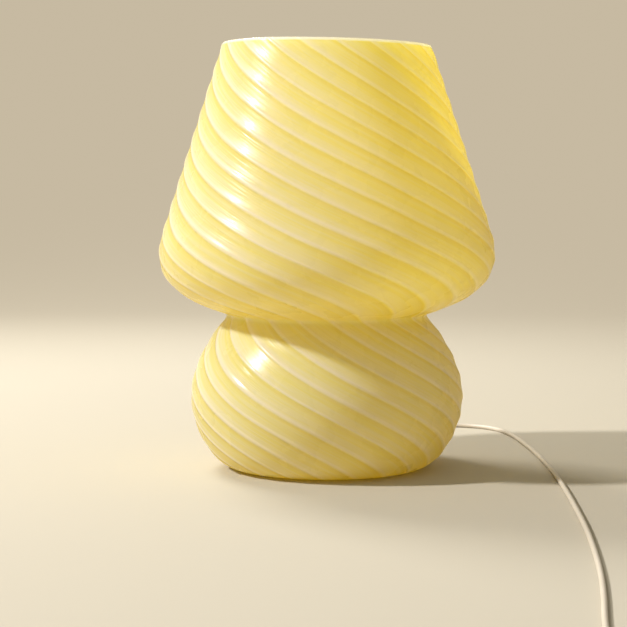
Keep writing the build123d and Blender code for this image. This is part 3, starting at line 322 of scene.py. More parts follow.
class Effects:
    """Shader groups that several finishes share, each built once."""

    @staticmethod
    def _group(name: str, inputs: dict, outputs: Sequence[str]) -> tuple[Tree, dict[str, Wire], bpy.types.Node]:
        """Start a group with named sockets.

        Args:
            name: the group's name.
            inputs: start values by name; a place has none.
            outputs: the names of what the group gives.

        Returns:
            The tree, the wires of its inputs and its output node.
        """
        group = bpy.data.node_groups.new(name, "ShaderNodeTree")
        kinds = {float: "NodeSocketFloat", tuple: "NodeSocketColor"}
        for label, value in inputs.items():
            kind = kinds.get(type(value), "NodeSocketVector")
            socket = group.interface.new_socket(label, in_out="INPUT", socket_type=kind)
            if value is not None:
                socket.default_value = value
        for label in outputs:
            kind = kinds[tuple if label == "Colour" else float]
            group.interface.new_socket(label, in_out="OUTPUT", socket_type=kind)
        tree = Tree(group)
        return tree, tree.outs(tree.add("NodeGroupInput")), tree.add("NodeGroupOutput")

    @classmethod
    def handling(cls) -> bpy.types.NodeTree:
        """Slow drift of colour and gloss from making and handling, with a trace of dust.

        Returns:
            A group with Colour and Roughness outputs.
        """
        name = "handling"
        if name in bpy.data.node_groups:
            return bpy.data.node_groups[name]
        start = {"Point": None, "Colour": (0.8, 0.8, 0.8, 1.0), "Roughness": 0.4, "Drift": 0.1, "Scale": 40.0}
        tree, given, sink = cls._group(name, start, ("Colour", "Roughness"))
        cloud = tree.noise(given["Point"], given["Scale"], 4.0)
        fine = tree.noise(given["Point"], given["Scale"] * 9.0, 2.0)
        swing = (cloud * 0.7 + fine * 0.3 - 0.5) * given["Drift"]
        dusty = tree.math("SUBTRACT", 1.0, swing * 2.0 + 0.5)
        darker = tree.mix(1.0, given["Colour"], (0.86, 0.84, 0.80), "MULTIPLY")
        rough = tree.math("MAXIMUM", given["Roughness"] + swing * 0.8, 0.03)
        tree.fill(
            sink,
            {"Colour": tree.mix(dusty, given["Colour"], darker), "Roughness": tree.math("MINIMUM", rough, 1.0)},
        )
        return tree.tree

    @classmethod
    def grain(cls, kind: Grain) -> bpy.types.NodeTree:
        """Fine relief of a surface.

        Args:
            kind: the way the surface was made.

        Returns:
            A group with a Height output.
        """
        name = f"grain_{kind.value}"
        if name in bpy.data.node_groups:
            return bpy.data.node_groups[name]
        tree, given, sink = cls._group(name, {"Point": None, "Scale": 900.0}, ("Height",))
        point, scale = given["Point"], given["Scale"]
        if kind is Grain.BRUSHED:
            drawn_out = {0: point, 1: (1.0, 1.0, 14.0)}
            point = tree.wire("ShaderNodeVectorMath", drawn_out, operation="MULTIPLY")
            height = tree.noise(point, scale, 2.0)
        elif kind is Grain.CAST:
            height = tree.wire("ShaderNodeTexVoronoi", {"Vector": point, "Scale": scale})
        else:
            height = tree.noise(point, scale, 3.0, 0.6)
        tree.fill(sink, {"Height": height})
        return tree.tree

    @classmethod
    def swirl(cls) -> bpy.types.NodeTree:
        """Pattern of the ribs that turn round the glass: thin lines, painted shade just below each line, and painted
        light that fades upward from it.

        Returns:
            A group with Line, Dark (painted shade), Band (painted light), Streak and Height outputs.
        """
        name = "swirl"
        if name in bpy.data.node_groups:
            return bpy.data.node_groups[name]
        ends = ("Line", "Dark", "Band", "Streak", "Height")
        tree, given, sink = cls._group(name, {"Point": None, "Ribs": 20.0, "Fall": 0.0405}, ends)
        point, ribs = given["Point"], given["Ribs"]
        place = tree.split(point)
        turned = tree.math("ARCTAN2", place["Y"], place["X"]) + place["Z"] / given["Fall"]
        waver = (tree.noise(point, 16.0, 2.0) - 0.5) * 0.09
        count = turned * ribs / TURN + waver
        part = tree.math("FRACT", count + 100.0)
        index = tree.math("FLOORED_MODULO", tree.math("ROUND", count), ribs)
        chance = tree.wire("ShaderNodeTexWhiteNoise", {"W": index}, noise_dimensions="1D")
        near = tree.math("PINGPONG", count, 0.5)
        sharp = tree.fade(near, 0.0, chance * 0.08 + 0.10, 1.0, 0.0)
        strength = tree.noise(point, 30.0, 3.0) + chance * 0.2 + 0.4
        # Painted shade: a strip just below each line is made darker, as if the rib's lower flank were in shade; the
        # same mask also cuts a groove into the relief.
        groove_and_shade = tree.fade(part, 0.62, 0.84) * tree.fade(part, 0.85, 0.95, 1.0, 0.0)
        round_and_up = {0: tree.math("COSINE", turned), 1: tree.math("SINE", turned), 2: place["Z"] * 2.2}
        flow = tree.wire("ShaderNodeCombineXYZ", round_and_up)
        streak = tree.fade(tree.noise(flow, 17.0, 3.0, 0.6), 0.32, 0.68)
        tree.fill(
            sink,
            {
                "Line": tree.math("MINIMUM", sharp * strength, 1.0),
                "Dark": groove_and_shade,
                # Painted light: lighter just above each line and fading upward, as if the rib's upper flank caught
                # light from above.
                "Band": tree.fade(part, 0.0, 0.62, 1.0, 0.0),
                "Streak": streak,
                "Height": sharp * 0.8 + streak * 0.35 - groove_and_shade * 0.6,
            },
        )
        return tree.tree


# ---------------------------------------------------------------- finishes
@dataclass(frozen=True)
class Surface:
    """What every finish shares: the slot that it dresses, its main colour and its roughness."""

    label: str
    colour: Colour
    roughness: float

    def material(self) -> bpy.types.Material:
        """Make the finish's material, once.

        Returns:
            The material.
        """
        name = f"{self.label}_finish"
        if name in bpy.data.materials:
            return bpy.data.materials[name]
        material = bpy.data.materials.new(name)
        material.use_nodes = True
        material.diffuse_color = (*self.colour, 1.0)
        nodes = material.node_tree.nodes
        self.shade(Tree(material.node_tree), nodes["Principled BSDF"], nodes["Material Output"])
        return material

    def shade(self, tree: Tree, shader: bpy.types.Node, output: bpy.types.Node) -> None:
        """Fill the material's tree.

        Args:
            tree: the tree to fill.
            shader: its Principled shader.
            output: its output node.
        """
        raise NotImplementedError


@dataclass(frozen=True)
class Finish(Surface):
    """An opaque finish: plastic, rubber or ceramic."""

    metallic: float = 0.0
    coat: float = 0.0
    coat_roughness: float = 0.12
    drift: float = 0.35
    drift_scale: float = 60.0
    grain: Grain = Grain.MOULDED
    grain_scale: float = 1400.0
    grain_depth: float = 0.02 * MM
    grain_strength: float = 0.6

    def shade(self, tree: Tree, shader: bpy.types.Node, output: bpy.types.Node) -> None:
        """Fill the tree: a handled colour and gloss over a fine grain.

        Args:
            tree: the material's tree.
            shader: its Principled shader.
            output: its output node.
        """
        point = tree.object_point()
        own = {"Colour": self.colour, "Roughness": self.roughness, "Drift": self.drift, "Scale": self.drift_scale}
        handled = tree.outs(tree.add("ShaderNodeGroup", {"Point": point, **own}, node_tree=Effects.handling()))
        fine = {"Point": point, "Scale": self.grain_scale}
        height = tree.wire("ShaderNodeGroup", fine, node_tree=Effects.grain(self.grain))
        tree.fill(
            shader,
            {
                "Base Color": handled["Colour"],
                "Roughness": handled["Roughness"],
                "Normal": tree.bump(height, self.grain_depth, self.grain_strength),
                "Metallic": self.metallic,
                "Coat Weight": self.coat,
                "Coat Roughness": self.coat_roughness,
            },
        )


@dataclass(frozen=True)
class Metal(Finish):
    """Bare or plated metal with fine turning marks."""

    metallic: float = 1.0
    grain: Grain = Grain.BRUSHED


@dataclass(frozen=True)
class SwirledGlass(Surface):
    """Milky yellow blown glass: pale where light falls on it, golden where light comes through."""

    # Painted light above each rib line, mixed with the glass's own streaks.
    pale: Colour = (0.96, 0.99, 0.93)
    gold: Colour = (0.90, 0.91, 0.38)
    # Painted shade below each rib line.
    deep: Colour = (0.84, 0.81, 0.25)
    line: Colour = (0.99, 0.99, 0.90)
    rim: Colour = (0.99, 0.99, 0.95)
    through: Colour = (0.99, 0.875, 0.12)
    # Painted light above each rib line and at the crease, in the light that comes through.
    through_painted_light: Colour = (0.99, 0.92, 0.22)
    # Painted shade below each rib line, in the light that comes through.
    through_rib_shade: Colour = (0.95, 0.78, 0.06)
    through_line: Colour = (0.99, 0.93, 0.36)
    through_share: float = 0.5
    rim_from: float = 0.2382
    slant: float = 0.022
    slant_from: float = 0.0353
    # Height of the crease, where painted light is laid on the light that comes through.
    waist: float = 0.0868
    # Shares of the painted light above each rib line, of the glass's own streaks, and of the painted shade below each
    # line.
    lit_band_share: float = 0.42
    streak_share: float = 0.36
    rib_shade_share: float = 0.5
    coat: float = 0.06
    coat_roughness: float = 0.14
    relief: float = 0.22 * MM

    def shade(self, tree: Tree, shader: bpy.types.Node, output: bpy.types.Node) -> None:
        """Fill the tree: a glossy milky surface mixed with light that passes through, with painted light above each
        rib line, painted shade below it and painted light at the crease.

        Args:
            tree: the material's tree.
            shader: its Principled shader.
            output: its output node.
        """
        point = tree.object_point()
        place = tree.split(point)
        swirl = tree.outs(tree.add("ShaderNodeGroup", {"Point": point}, node_tree=Effects.swirl()))
        # Painted light above each rib line together with the glass's own streaks, and painted shade below each line.
        lit_band_and_streaks = swirl["Band"] * self.lit_band_share + swirl["Streak"] * self.streak_share
        rib_shade_mask = swirl["Dark"] * self.rib_shade_share
        slant = tree.math("MAXIMUM", place["X"] + self.slant_from, 0.0) * self.slant
        lip = tree.fade(place["Z"] + slant, self.rim_from, self.rim_from + 0.8 * MM)
        from_waist = tree.math("ABSOLUTE", place["Z"] - self.waist)
        # Painted light: the light that comes through is made brighter close to the waist's crease.
        pinch = tree.fade(from_waist, 0.5 * MM, 3.5 * MM, 1.0, 0.0)
        seeds, cloud = tree.noise(point, 260.0, 2.0), tree.noise(point, 14.0, 4.0, 0.6)
        normal = tree.bump(swirl["Height"] + seeds * 0.05 + cloud * 0.8, self.relief, 1.0)
        gloss = (self.roughness - 0.05, self.roughness + 0.07)
        body = ((lit_band_and_streaks, self.pale), (rib_shade_mask, self.deep), (swirl["Line"], self.line), (lip, self.rim))
        tree.fill(
            shader,
            {
                "Base Color": tree.layers(self.gold, body),
                "Roughness": tree.fade(tree.noise(point, 45.0, 3.0), 0.3, 0.7, *gloss),
                "Coat Weight": self.coat,
                "Coat Roughness": self.coat_roughness,
                "Normal": normal,
            },
        )
        glow = (
            (lit_band_and_streaks, self.through_painted_light),
            (rib_shade_mask, self.through_rib_shade),
            (swirl["Line"], self.through_line),
            # Painted light at the crease.
            (pinch, self.through_painted_light),
            (lip, self.rim),
        )
        light = {"Color": tree.layers(self.through, glow), "Normal": normal}
        passing = tree.wire("ShaderNodeBsdfTranslucent", light)
        tree.blend(output, self.through_share, tree.outs(shader)["BSDF"], passing)


@dataclass(frozen=True)
class OpalGlass(Surface):
    """White opal glass of the bulb: an even white that lets some light through."""

    warm: Colour = (0.90, 0.87, 0.80)
    through_share: float = 0.3
    coat: float = 0.5
    coat_roughness: float = 0.04

    def shade(self, tree: Tree, shader: bpy.types.Node, output: bpy.types.Node) -> None:
        """Fill the tree: a glossy white surface mixed with light that passes through.

        Args:
            tree: the material's tree.
            shader: its Principled shader.
            output: its output node.
        """
        cloud = tree.noise(tree.object_point(), 70.0, 3.0)
        body = tree.mix(cloud, self.warm, self.colour)
        tree.fill(
            shader,
            {
                "Base Color": body,
                "Roughness": tree.fade(cloud, 0.3, 0.7, self.roughness - 0.04, self.roughness + 0.05),
                "Coat Weight": self.coat,
                "Coat Roughness": self.coat_roughness,
                "Normal": tree.bump(cloud, 0.05 * MM, 0.4),
            },
        )
        passing = tree.wire("ShaderNodeBsdfTranslucent", {"Color": body})
        tree.blend(output, self.through_share, tree.outs(shader)["BSDF"], passing)


YELLOW_GLASS = SwirledGlass("yellow_glass", (0.93, 0.80, 0.42), 0.26)
GLASS_LINING = replace(YELLOW_GLASS, label="yellow_glass_lining", roughness=0.2, through_share=0.9)
OPAL_GLASS = OpalGlass("opal_glass", (0.93, 0.92, 0.89), 0.12)
CLEAR_RUBBER = Finish("clear_rubber", (0.72, 0.71, 0.66), 0.35, coat=0.2, drift=0.3)
BLACK_RUBBER = Finish("black_rubber", (0.030, 0.029, 0.028), 0.62, drift=0.8, grain=Grain.CAST, grain_scale=1100)
ZINC = Metal("zinc_steel", (0.63, 0.64, 0.66), 0.30, drift=0.5, grain_depth=0.01 * MM)
BRASS = Metal("brass", (0.80, 0.60, 0.27), 0.26, drift=0.7, grain_depth=0.01 * MM)
NICKEL = Metal("pin_nickel", (0.74, 0.71, 0.66), 0.18, drift=0.4)
CAP_METAL = Metal("bulb_metal", (0.78, 0.78, 0.77), 0.24, drift=0.5)
HOLDER_PLASTIC = Finish("holder_plastic", (0.84, 0.82, 0.76), 0.48, grain_depth=0.03 * MM)
STEATITE = Finish("holder_ceramic", (0.80, 0.77, 0.70), 0.72, grain=Grain.CAST, grain_depth=0.04 * MM)
COLLAR_PLASTIC = Finish("bulb_plastic", (0.88, 0.87, 0.84), 0.30, coat=0.2)
BLACK_RESIN = Finish("black_insulator", (0.035, 0.034, 0.033), 0.28, coat=0.3, drift=0.7)
BUSH_RUBBER = Finish("grommet_rubber", (0.76, 0.71, 0.61), 0.58, grain_depth=0.03 * MM)
SHEATH = Finish("cord_sheath", (0.66, 0.60, 0.51), 0.42, drift=0.5, drift_scale=90.0, grain_depth=0.015 * MM)
CORE_BROWN = Finish("wire_insulation", (0.20, 0.10, 0.05), 0.38)
HOUSING = Finish(
    "switch_plastic", (0.80, 0.76, 0.67), 0.40, coat=0.1, grain=Grain.CAST, grain_scale=2600, grain_depth=0.03 * MM
)
PLUG_SHELL = replace(HOUSING, label="plug_plastic", roughness=0.42)
ROCKER_KEY = Finish("rocker_plastic", (0.72, 0.68, 0.59), 0.30, coat=0.2)


# ---------------------------------------------------------------- mesh tools
def bent(controls: Sequence[Point], steps: int) -> list[Point]:
    """Points of one bent stretch of an outline, its last point left out.

    Args:
        controls: three or four control points as (radius, height).
        steps: how many points to make.

    Returns:
        The points.
    """
    if len(controls) == 3:
        start, pull, end = controls
        near = tuple(a + 2 / 3 * (b - a) for a, b in zip(start, pull))
        far = tuple(a + 2 / 3 * (b - a) for a, b in zip(end, pull))
        controls = (start, near, far, end)
    line = interpolate_bezier(*(Vector((r, z, 0.0)) for r, z in controls), steps + 1)
    return [(p.x, p.y) for p in line[:-1]]


def even(start: Point, end: Point, steps: int) -> list[Point]:
    """Points of one straight stretch of an outline, its last point left out."""
    return [
        (start[0] + (end[0] - start[0]) * k / steps, start[1] + (end[1] - start[1]) * k / steps)
        for k in range(steps)
    ]


def arc(centre: Point, size: Point, sweep: float, steps: int) -> list[Point]:
    """Points of part of an ellipse.

    Args:
        centre: the ellipse's centre.
        size: its half sizes; the arc starts above the centre, or below it where the second is negative.
        sweep: the angle that it turns through.
        steps: how many steps it has.

    Returns:
        The points, both ends among them.
    """
    angles = [sweep * k / steps for k in range(steps + 1)]
    return [(centre[0] + size[0] * math.sin(a), centre[1] + size[1] * math.cos(a)) for a in angles]


def spin_outline(bm: bmesh.types.BMesh, outline: Sequence[Point], steps: int, closed: bool = True) -> None:
    """Turn an outline once round the Z axis inside a mesh.

    Args:
        bm: the mesh to add to.
        outline: (radius, height) points.
        steps: how many steps the turn has.
        closed: whether the last point joins the first.
    """
    verts = [bm.verts.new((r, 0.0, z)) for r, z in outline]
    pairs = list(zip(verts, verts[1:])) + ([(verts[-1], verts[0])] if closed else [])
    edges = [bm.edges.new(pair) for pair in pairs]
    bmesh.ops.spin(
        bm, geom=verts + edges, cent=(0, 0, 0), axis=(0, 0, 1), dvec=(0, 0, 0), angle=TURN, steps=steps,
        use_merge=True, use_duplicate=False,
    )


def close_up(bm: bmesh.types.BMesh, distance: float = 1e-6) -> None:
    """Merge doubles and turn every face outwards.

    Args:
        bm: the mesh.
        distance: how near to each other two points count as one.
    """
    bmesh.ops.remove_doubles(bm, verts=bm.verts, dist=distance)
    bmesh.ops.dissolve_degenerate(bm, dist=distance, edges=bm.edges)
    bmesh.ops.recalc_face_normals(bm, faces=bm.faces)


def turned(outline: Sequence[Point], steps: int = 64, rounding: float = 0.0) -> bmesh.types.BMesh:
    """A turned piece about the lamp's axis.

    Args:
        outline: corner points as (radius, height), in order round the section.
        steps: how many steps the turn has.
        rounding: how far sharp corners of the section are rounded.

    Returns:
        The new mesh.
    """
    bm = bmesh.new()
    on_axis = outline[0][0] == 0.0 and outline[-1][0] == 0.0
    spin_outline(bm, outline, steps, closed=not on_axis)
    close_up(bm)
    if rounding:
        round_edges(bm, rounding)
    return bm


def round_edges(bm: bmesh.types.BMesh, width: float, least_angle: float = 0.5, segments: int = 2) -> None:
    """Bevel every edge that bends by more than an angle.

    Args:
        bm: the mesh.
        width: how far the bevel reaches.
        least_angle: the bend in radians from which an edge is sharp.
        segments: how many steps the bevel has.
    """
    sharp = [e for e in bm.edges if len(e.link_faces) == 2 and e.calc_face_angle(0.0) > least_angle]
    bmesh.ops.bevel(
        bm, geom=sharp, offset=width, offset_type="OFFSET", segments=segments, profile=0.5,
        affect="EDGES", clamp_overlap=True, material=-1,
    )


def pull_in(vert: bmesh.types.BMVert, depth: float) -> None:
    """Move a point towards the Z axis by a depth, or outwards where the depth is negative."""
    factor = 1.0 - depth / math.hypot(vert.co.x, vert.co.y)
    vert.co.x, vert.co.y = vert.co.x * factor, vert.co.y * factor


def carry(bm: bmesh.types.BMesh, matrix: Matrix) -> bmesh.types.BMesh:
    """Move a mesh to its place, and return it."""
    bmesh.ops.transform(bm, matrix=matrix, verts=bm.verts)
    return bm


def facing(origin: Sequence[float], direction: Sequence[float]) -> Matrix:
    """The move that carries +Z at the origin to a direction at a point."""
    turn = Vector(direction).to_track_quat("Z", "Y").to_matrix().to_4x4()
    return Matrix.Translation(Vector(origin)) @ turn


def threaded(bm: bmesh.types.BMesh, low: float, high: float, pitch: float, depth: float, near: float) -> None:
    """Press a screw thread into the outer wall of a turned mesh.

    Args:
        bm: the mesh, with rows close enough to show the thread.
        low: height where the thread starts.
        high: height where it ends.
        pitch: rise of one turn.
        depth: from root to crest.
        near: radius beyond which a point belongs to the outer wall.
    """
    for vert in bm.verts:
        x, y, z = vert.co
        if math.hypot(x, y) >= near and low <= z <= high:
            ends = min(1.0, (z - low) / pitch, (high - z) / pitch)
            wave = 0.5 - 0.5 * math.cos(TURN * (z / pitch - math.atan2(y, x) / TURN))
            pull_in(vert, depth * ends * wave)


def as_mesh(bm: bmesh.types.BMesh, name: str) -> bpy.types.Mesh:
    """Turn a mesh that was worked on into mesh data, and free it.

    Args:
        bm: the mesh that was worked on.
        name: the data's name.

    Returns:
        The mesh data.
    """
    mesh = bpy.data.meshes.new(name)
    bm.to_mesh(mesh)
    bm.free()
    return mesh


def in_scene(name: str, data: bpy.types.ID) -> bpy.types.Object:
    """Put data into the scene as a new object.

    Args:
        name: the object's name.
        data: its mesh, curve, light or camera.

    Returns:
        The new object.
    """
    obj = bpy.data.objects.new(name, data)
    bpy.context.scene.collection.objects.link(obj)
    return obj


def piece(
    bm: bmesh.types.BMesh, name: str, finish: Surface, body: Body, stands_for: Iterable[str] = (), smooth: float = 0.6
) -> bpy.types.Object:
    """Make a finished piece of a mesh.

    Args:
        bm: the mesh, in place; it is freed.
        name: the piece's name.
        finish: the finish that dresses it.
        body: the body that it rides on.
        stands_for: the solids that it replaces.
        smooth: edges that bend by more than this angle stay sharp.

    Returns:
        The new object.
    """
    mesh = as_mesh(bm, name)
    mesh.polygons.foreach_set("use_smooth", [True] * len(mesh.polygons))
    mesh.set_sharp_from_angle(angle=smooth)
    return dress(in_scene(name, mesh), finish, body, stands_for)


def dress(obj: bpy.types.Object, finish: Surface, body: Body, stands_for: Iterable[str] = ()) -> bpy.types.Object:
    """Give an object its finish and its body, say what it replaces, and return it.

    Args:
        obj: the object.
        finish: the finish that dresses it.
        body: the body that it rides on.
        stands_for: the solids that it replaces.

    Returns:
        The same object.
    """
    obj.data.materials.append(finish.material())
    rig.ride(obj, body.value)
    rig.slot(obj, finish.label)
    if stands_for:
        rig.replaces(obj, *stands_for)
    return obj


def tube(
    name: str, routes: Sequence[Sequence[Place]], radius: float, finish: Finish, stands_for: Iterable[str]
) -> bpy.types.Object:
    """A round flexible tube on smooth lines, riding on the lamp.

    Args:
        name: the piece's name.
        routes: for each line, its control points in metres.
        radius: the tube's radius.
        finish: the finish that dresses it.
        stands_for: the solids that it replaces.

    Returns:
        The new curve object.
    """
    curve = bpy.data.curves.new(name, "CURVE")
    curve.dimensions = "3D"
    for route in routes:
        spline = curve.splines.new("NURBS")
        spline.points.add(len(route) - 1)
        for point, place in zip(spline.points, route):
            point.co = (*place, 1.0)
        spline.order_u = 3
        spline.use_endpoint_u = True
        spline.resolution_u = 8
    curve.bevel_depth = radius
    curve.bevel_resolution = 4
    curve.use_fill_caps = True
    return dress(in_scene(name, curve), finish, Body.LAMP, stands_for)


# ---------------------------------------------------------------- the blown glass
@dataclass(frozen=True)
class BlownGlass:
    """Shade and base in one blown piece, with ribs that turn round it and a slightly uneven mouth."""

    height: float = 0.240
    rim_radius: float = 0.0588
    rim_round: float = 0.0011
    cone_foot: Point = (0.0919, 0.136)
    widest: Point = (0.0947, 0.1215)
    shoulder_ease: float = 0.35
    waist: Point = (0.0566, 0.0864)
    crease_half: float = 0.002
    crease_depth: float = 0.0014
    globe: Point = (0.077, 0.041)
    foot: Point = (0.0526, 0.001)
    wall: float = 0.003
    neck_round: float = 0.004
    punt_outer: float = 0.042
    punt_inner: float = 0.0235
    punt_height: float = 0.009
    floor: float = 0.004
    floor_hole: float = 0.006
    ribs: int = 20
    columns_per_rib: int = 16
    fall: float = 0.0405
    relief: float = 0.0005
    crest_power: float = 0.8
    mean_crest: float = 0.42
    foot_fade: float = 0.004
    mouth_slope: float = 0.022
    mouth_from: float = 0.16

    @staticmethod
    def _between(start: Point, end: Point, *shares: Point) -> tuple[Point, ...]:
        """Start, points at shares of the way out and up from start to end, and end."""
        run, rise = end[0] - start[0], end[1] - start[1]
        return (start, *((start[0] + out * run, start[1] + up * rise) for out, up in shares), end)

    def _stretches(self) -> dict[str, tuple[Point, ...]]:
        """The control points of each bent stretch of the outside.

        Returns:
            Three or four control points by the stretch's name.
        """
        top = (self.waist[0] + self.crease_depth, self.waist[1] + self.crease_half)
        bottom = (top[0], self.waist[1] - self.crease_half)
        pinch = (self.waist[0] - self.crease_depth, self.waist[1] + self.crease_half / 2)
        rim = (self.rim_radius, self.height - self.rim_round)
        lean = (self.cone_foot[0] - self.rim_radius) / (self.height - self.cone_foot[1])
        drop = self.shoulder_ease * (self.cone_foot[1] - self.widest[1])
        mouth = (self.rim_radius - self.rim_round, self.height)
        between = self._between
        return {
            "rim": (mouth, (self.rim_radius - 0.4 * self.rim_round, self.height), rim),
            "shoulder": (
                self.cone_foot,
                (self.cone_foot[0] + lean * drop, self.cone_foot[1] - drop),
                (self.widest[0], self.widest[1] + drop),
                self.widest,
            ),
            "underside": between(self.widest, top, (0.0, 0.57), (0.51, 0.83)),
            "crease": (top, pinch, bottom),
            "globe_upper": between(bottom, self.globe, (0.47, 0.24), (1.0, 0.62)),
            "globe_lower": between(self.globe, self.foot, (0.0, 0.47), (0.53, 0.985)),
        }

    def outside(self) -> list[Point]:
        """The outer outline from mouth to foot.

        Returns:
            The (radius, height) points.
        """
        parts = self._stretches()
        rim = parts["rim"][-1]
        return [
            *bent(parts["rim"], 5),
            *even(rim, self.cone_foot, 60),
            *bent(parts["shoulder"], 12),
            *bent(parts["underside"], 34),
            *bent(parts["crease"], 10),
            *bent(parts["globe_upper"], 30),
            *bent(parts["globe_lower"], 34),
            self.foot,
        ]

    def _moved_in(self, controls: Sequence[Point]) -> list[Point]:
        """The same bend one wall further in.

        Args:
            controls: four control points, from top to bottom.

        Returns:
            The moved control points.
        """

        def square(start: Point, end: Point) -> Point:
            """One wall's way in, square to the line from start to end."""
            run = math.hypot(end[0] - start[0], end[1] - start[1])
            return ((end[1] - start[1]) / run * self.wall, -(end[0] - start[0]) / run * self.wall)

        first, last = square(*controls[:2]), square(*controls[-2:])
        moves = (first, first, last, last)
        return [(r + dr, z + dz) for (r, z), (dr, dz) in zip(controls, moves)]

    def _beyond(self, start: Point, end: Point) -> Point:
        """A point past the end, on the line from start through it."""
        share = 1 + self.neck_round / math.hypot(end[0] - start[0], end[1] - start[1])
        return self._between(start, end, (share, share))[1]

    def inside(self) -> list[Point]:
        """The inner outline from mouth to foot: cavity, floor, fixing hole and the hollow under the floor.

        Returns:
            The (radius, height) points.
        """
        parts = self._stretches()
        moved = (self._moved_in(parts[name]) for name in ("shoulder", "underside", "globe_upper", "globe_lower"))
        shoulder, underside, upper, lower = moved
        mouth = parts["rim"][0]
        rim_in = (self.rim_radius - self.wall, self.height - self.rim_round)
        top_in = (rim_in[0] + 0.6 * self.rim_round, self.height)
        floor_low = self.foot[1] + self.wall
        punt = self.foot[1] + self.punt_height
        floor_high = punt + self.floor
        lower[-2] = (lower[-2][0], floor_low)
        lower[-1] = (self.punt_outer + self.wall, floor_low)
        middle = (self.punt_outer + self.punt_inner) / 2
        dip = (self.punt_inner + self.floor / 2, floor_high)
        neck = (underside[-1], self._beyond(*underside[-2:]), self._beyond(upper[1], upper[0]), upper[0])
        hollow = (
            (self.punt_inner, punt),
            (middle - self.wall / 2, punt),
            (middle, self.foot[1]),
            (self.punt_outer, self.foot[1]),
        )
        return [
            mouth,
            *bent((top_in, (rim_in[0], self.height), rim_in), 3),
            *even(rim_in, shoulder[0], 12),
            *bent(shoulder, 5),
            *bent(underside, 10),
            *bent(neck, 4),
            *bent(upper, 10),
            *bent(lower, 10),
            *bent((lower[-1], (middle + self.wall, floor_low), (middle, floor_high), dip), 6),
            *even(dip, (self.floor_hole, floor_high), 3),
            (self.floor_hole, floor_high),
            (self.floor_hole, punt),
            *even((self.floor_hole + 0.001, punt), (self.punt_inner, punt), 2),
            *bent(hollow, 6),
            hollow[-1],
            self.foot,
        ]

    def _press_ribs(self, bm: bmesh.types.BMesh) -> None:
        """Raise the ribs on the outer wall: crests with hollow flutes between, fading at mouth and foot.

        Args:
            bm: the outer wall, with its seam along +X.
        """
        for vert in bm.verts:
            x, y, z = vert.co
            phase = math.atan2(y, x) * self.ribs / TURN
            crest = 1.0 - abs(math.sin(math.pi * phase)) ** self.crest_power
            fade = min(1.0, (self.height - z) / (2 * self.rim_round), (z - self.foot[1]) / self.foot_fade)
            pull_in(vert, -self.relief * (crest - self.mean_crest) * max(0.0, fade))

    def _turn_ribs(self, bm: bmesh.types.BMesh) -> None:
        """Turn every point about the axis by its height, and cut the mouth a little out of square.

        Args:
            bm: the whole glass.
        """
        for vert in bm.verts:
            x, y, z = vert.co
            angle = -z / self.fall
            across = x * math.cos(angle) - y * math.sin(angle)
            away = x * math.sin(angle) + y * math.cos(angle)
            rise = min(1.0, max(0.0, (z - self.mouth_from) / (self.height - self.mouth_from)))
            slant = self.mouth_slope * (across + 0.6 * self.rim_radius) * rise * rise
            vert.co = (across, away, z - max(0.0, slant))

    def build(self) -> bpy.types.Object:
        """Build and dress the glass.

        Returns:
            The finished piece.
        """
        steps = self.ribs * self.columns_per_rib
        underside = self.foot[1] + self.punt_height + MM / 2
        bm = bmesh.new()
        spin_outline(bm, self.outside(), steps, closed=False)
        self._press_ribs(bm)
        outer = len(bm.faces)
        spin_outline(bm, self.inside(), steps, closed=False)
        bm.faces.ensure_lookup_table()
        for face in bm.faces[outer:]:
            face.material_index = 1
        close_up(bm, 2e-5)
        for face in bm.faces:
            if face.normal.z < 0 and face.calc_center_median().z < underside:
                face.material_index = 0
        self._turn_ribs(bm)
        glass = piece(bm, "blown_glass", YELLOW_GLASS, Body.LAMP, ("glass_shade", "glass_base"), smooth=0.9)
        glass.data.materials.append(GLASS_LINING.material())
        return glass


@dataclass(frozen=True)
class Feet:
    """Clear soft feet under the base."""

    radius: float = 0.004
    thickness: float = 0.001
    rounding: float = 0.00028
    reach: float = 0.0473
    count: int = 4

    def build(self) -> bpy.types.Object:
        """Build and dress the feet as one piece.

        Returns:
            The finished piece.
        """
        bm = bmesh.new()
        for number in range(self.count):
            foot = turned([(0, 0), (self.radius, 0), (self.radius, self.thickness), (0, self.thickness)], 40)
            round_edges(foot, self.rounding, segments=3)
            angle = TURN * (number + 0.5) / self.count
            place = (self.reach * math.cos(angle), self.reach * math.sin(angle), 0.0)
            carry(foot, Matrix.Translation(place))
            part = as_mesh(foot, "foot")
            bm.from_mesh(part)
            bpy.data.meshes.remove(part)
        return piece(bm, "soft_feet", CLEAR_RUBBER, Body.LAMP, ("foot_pads",))


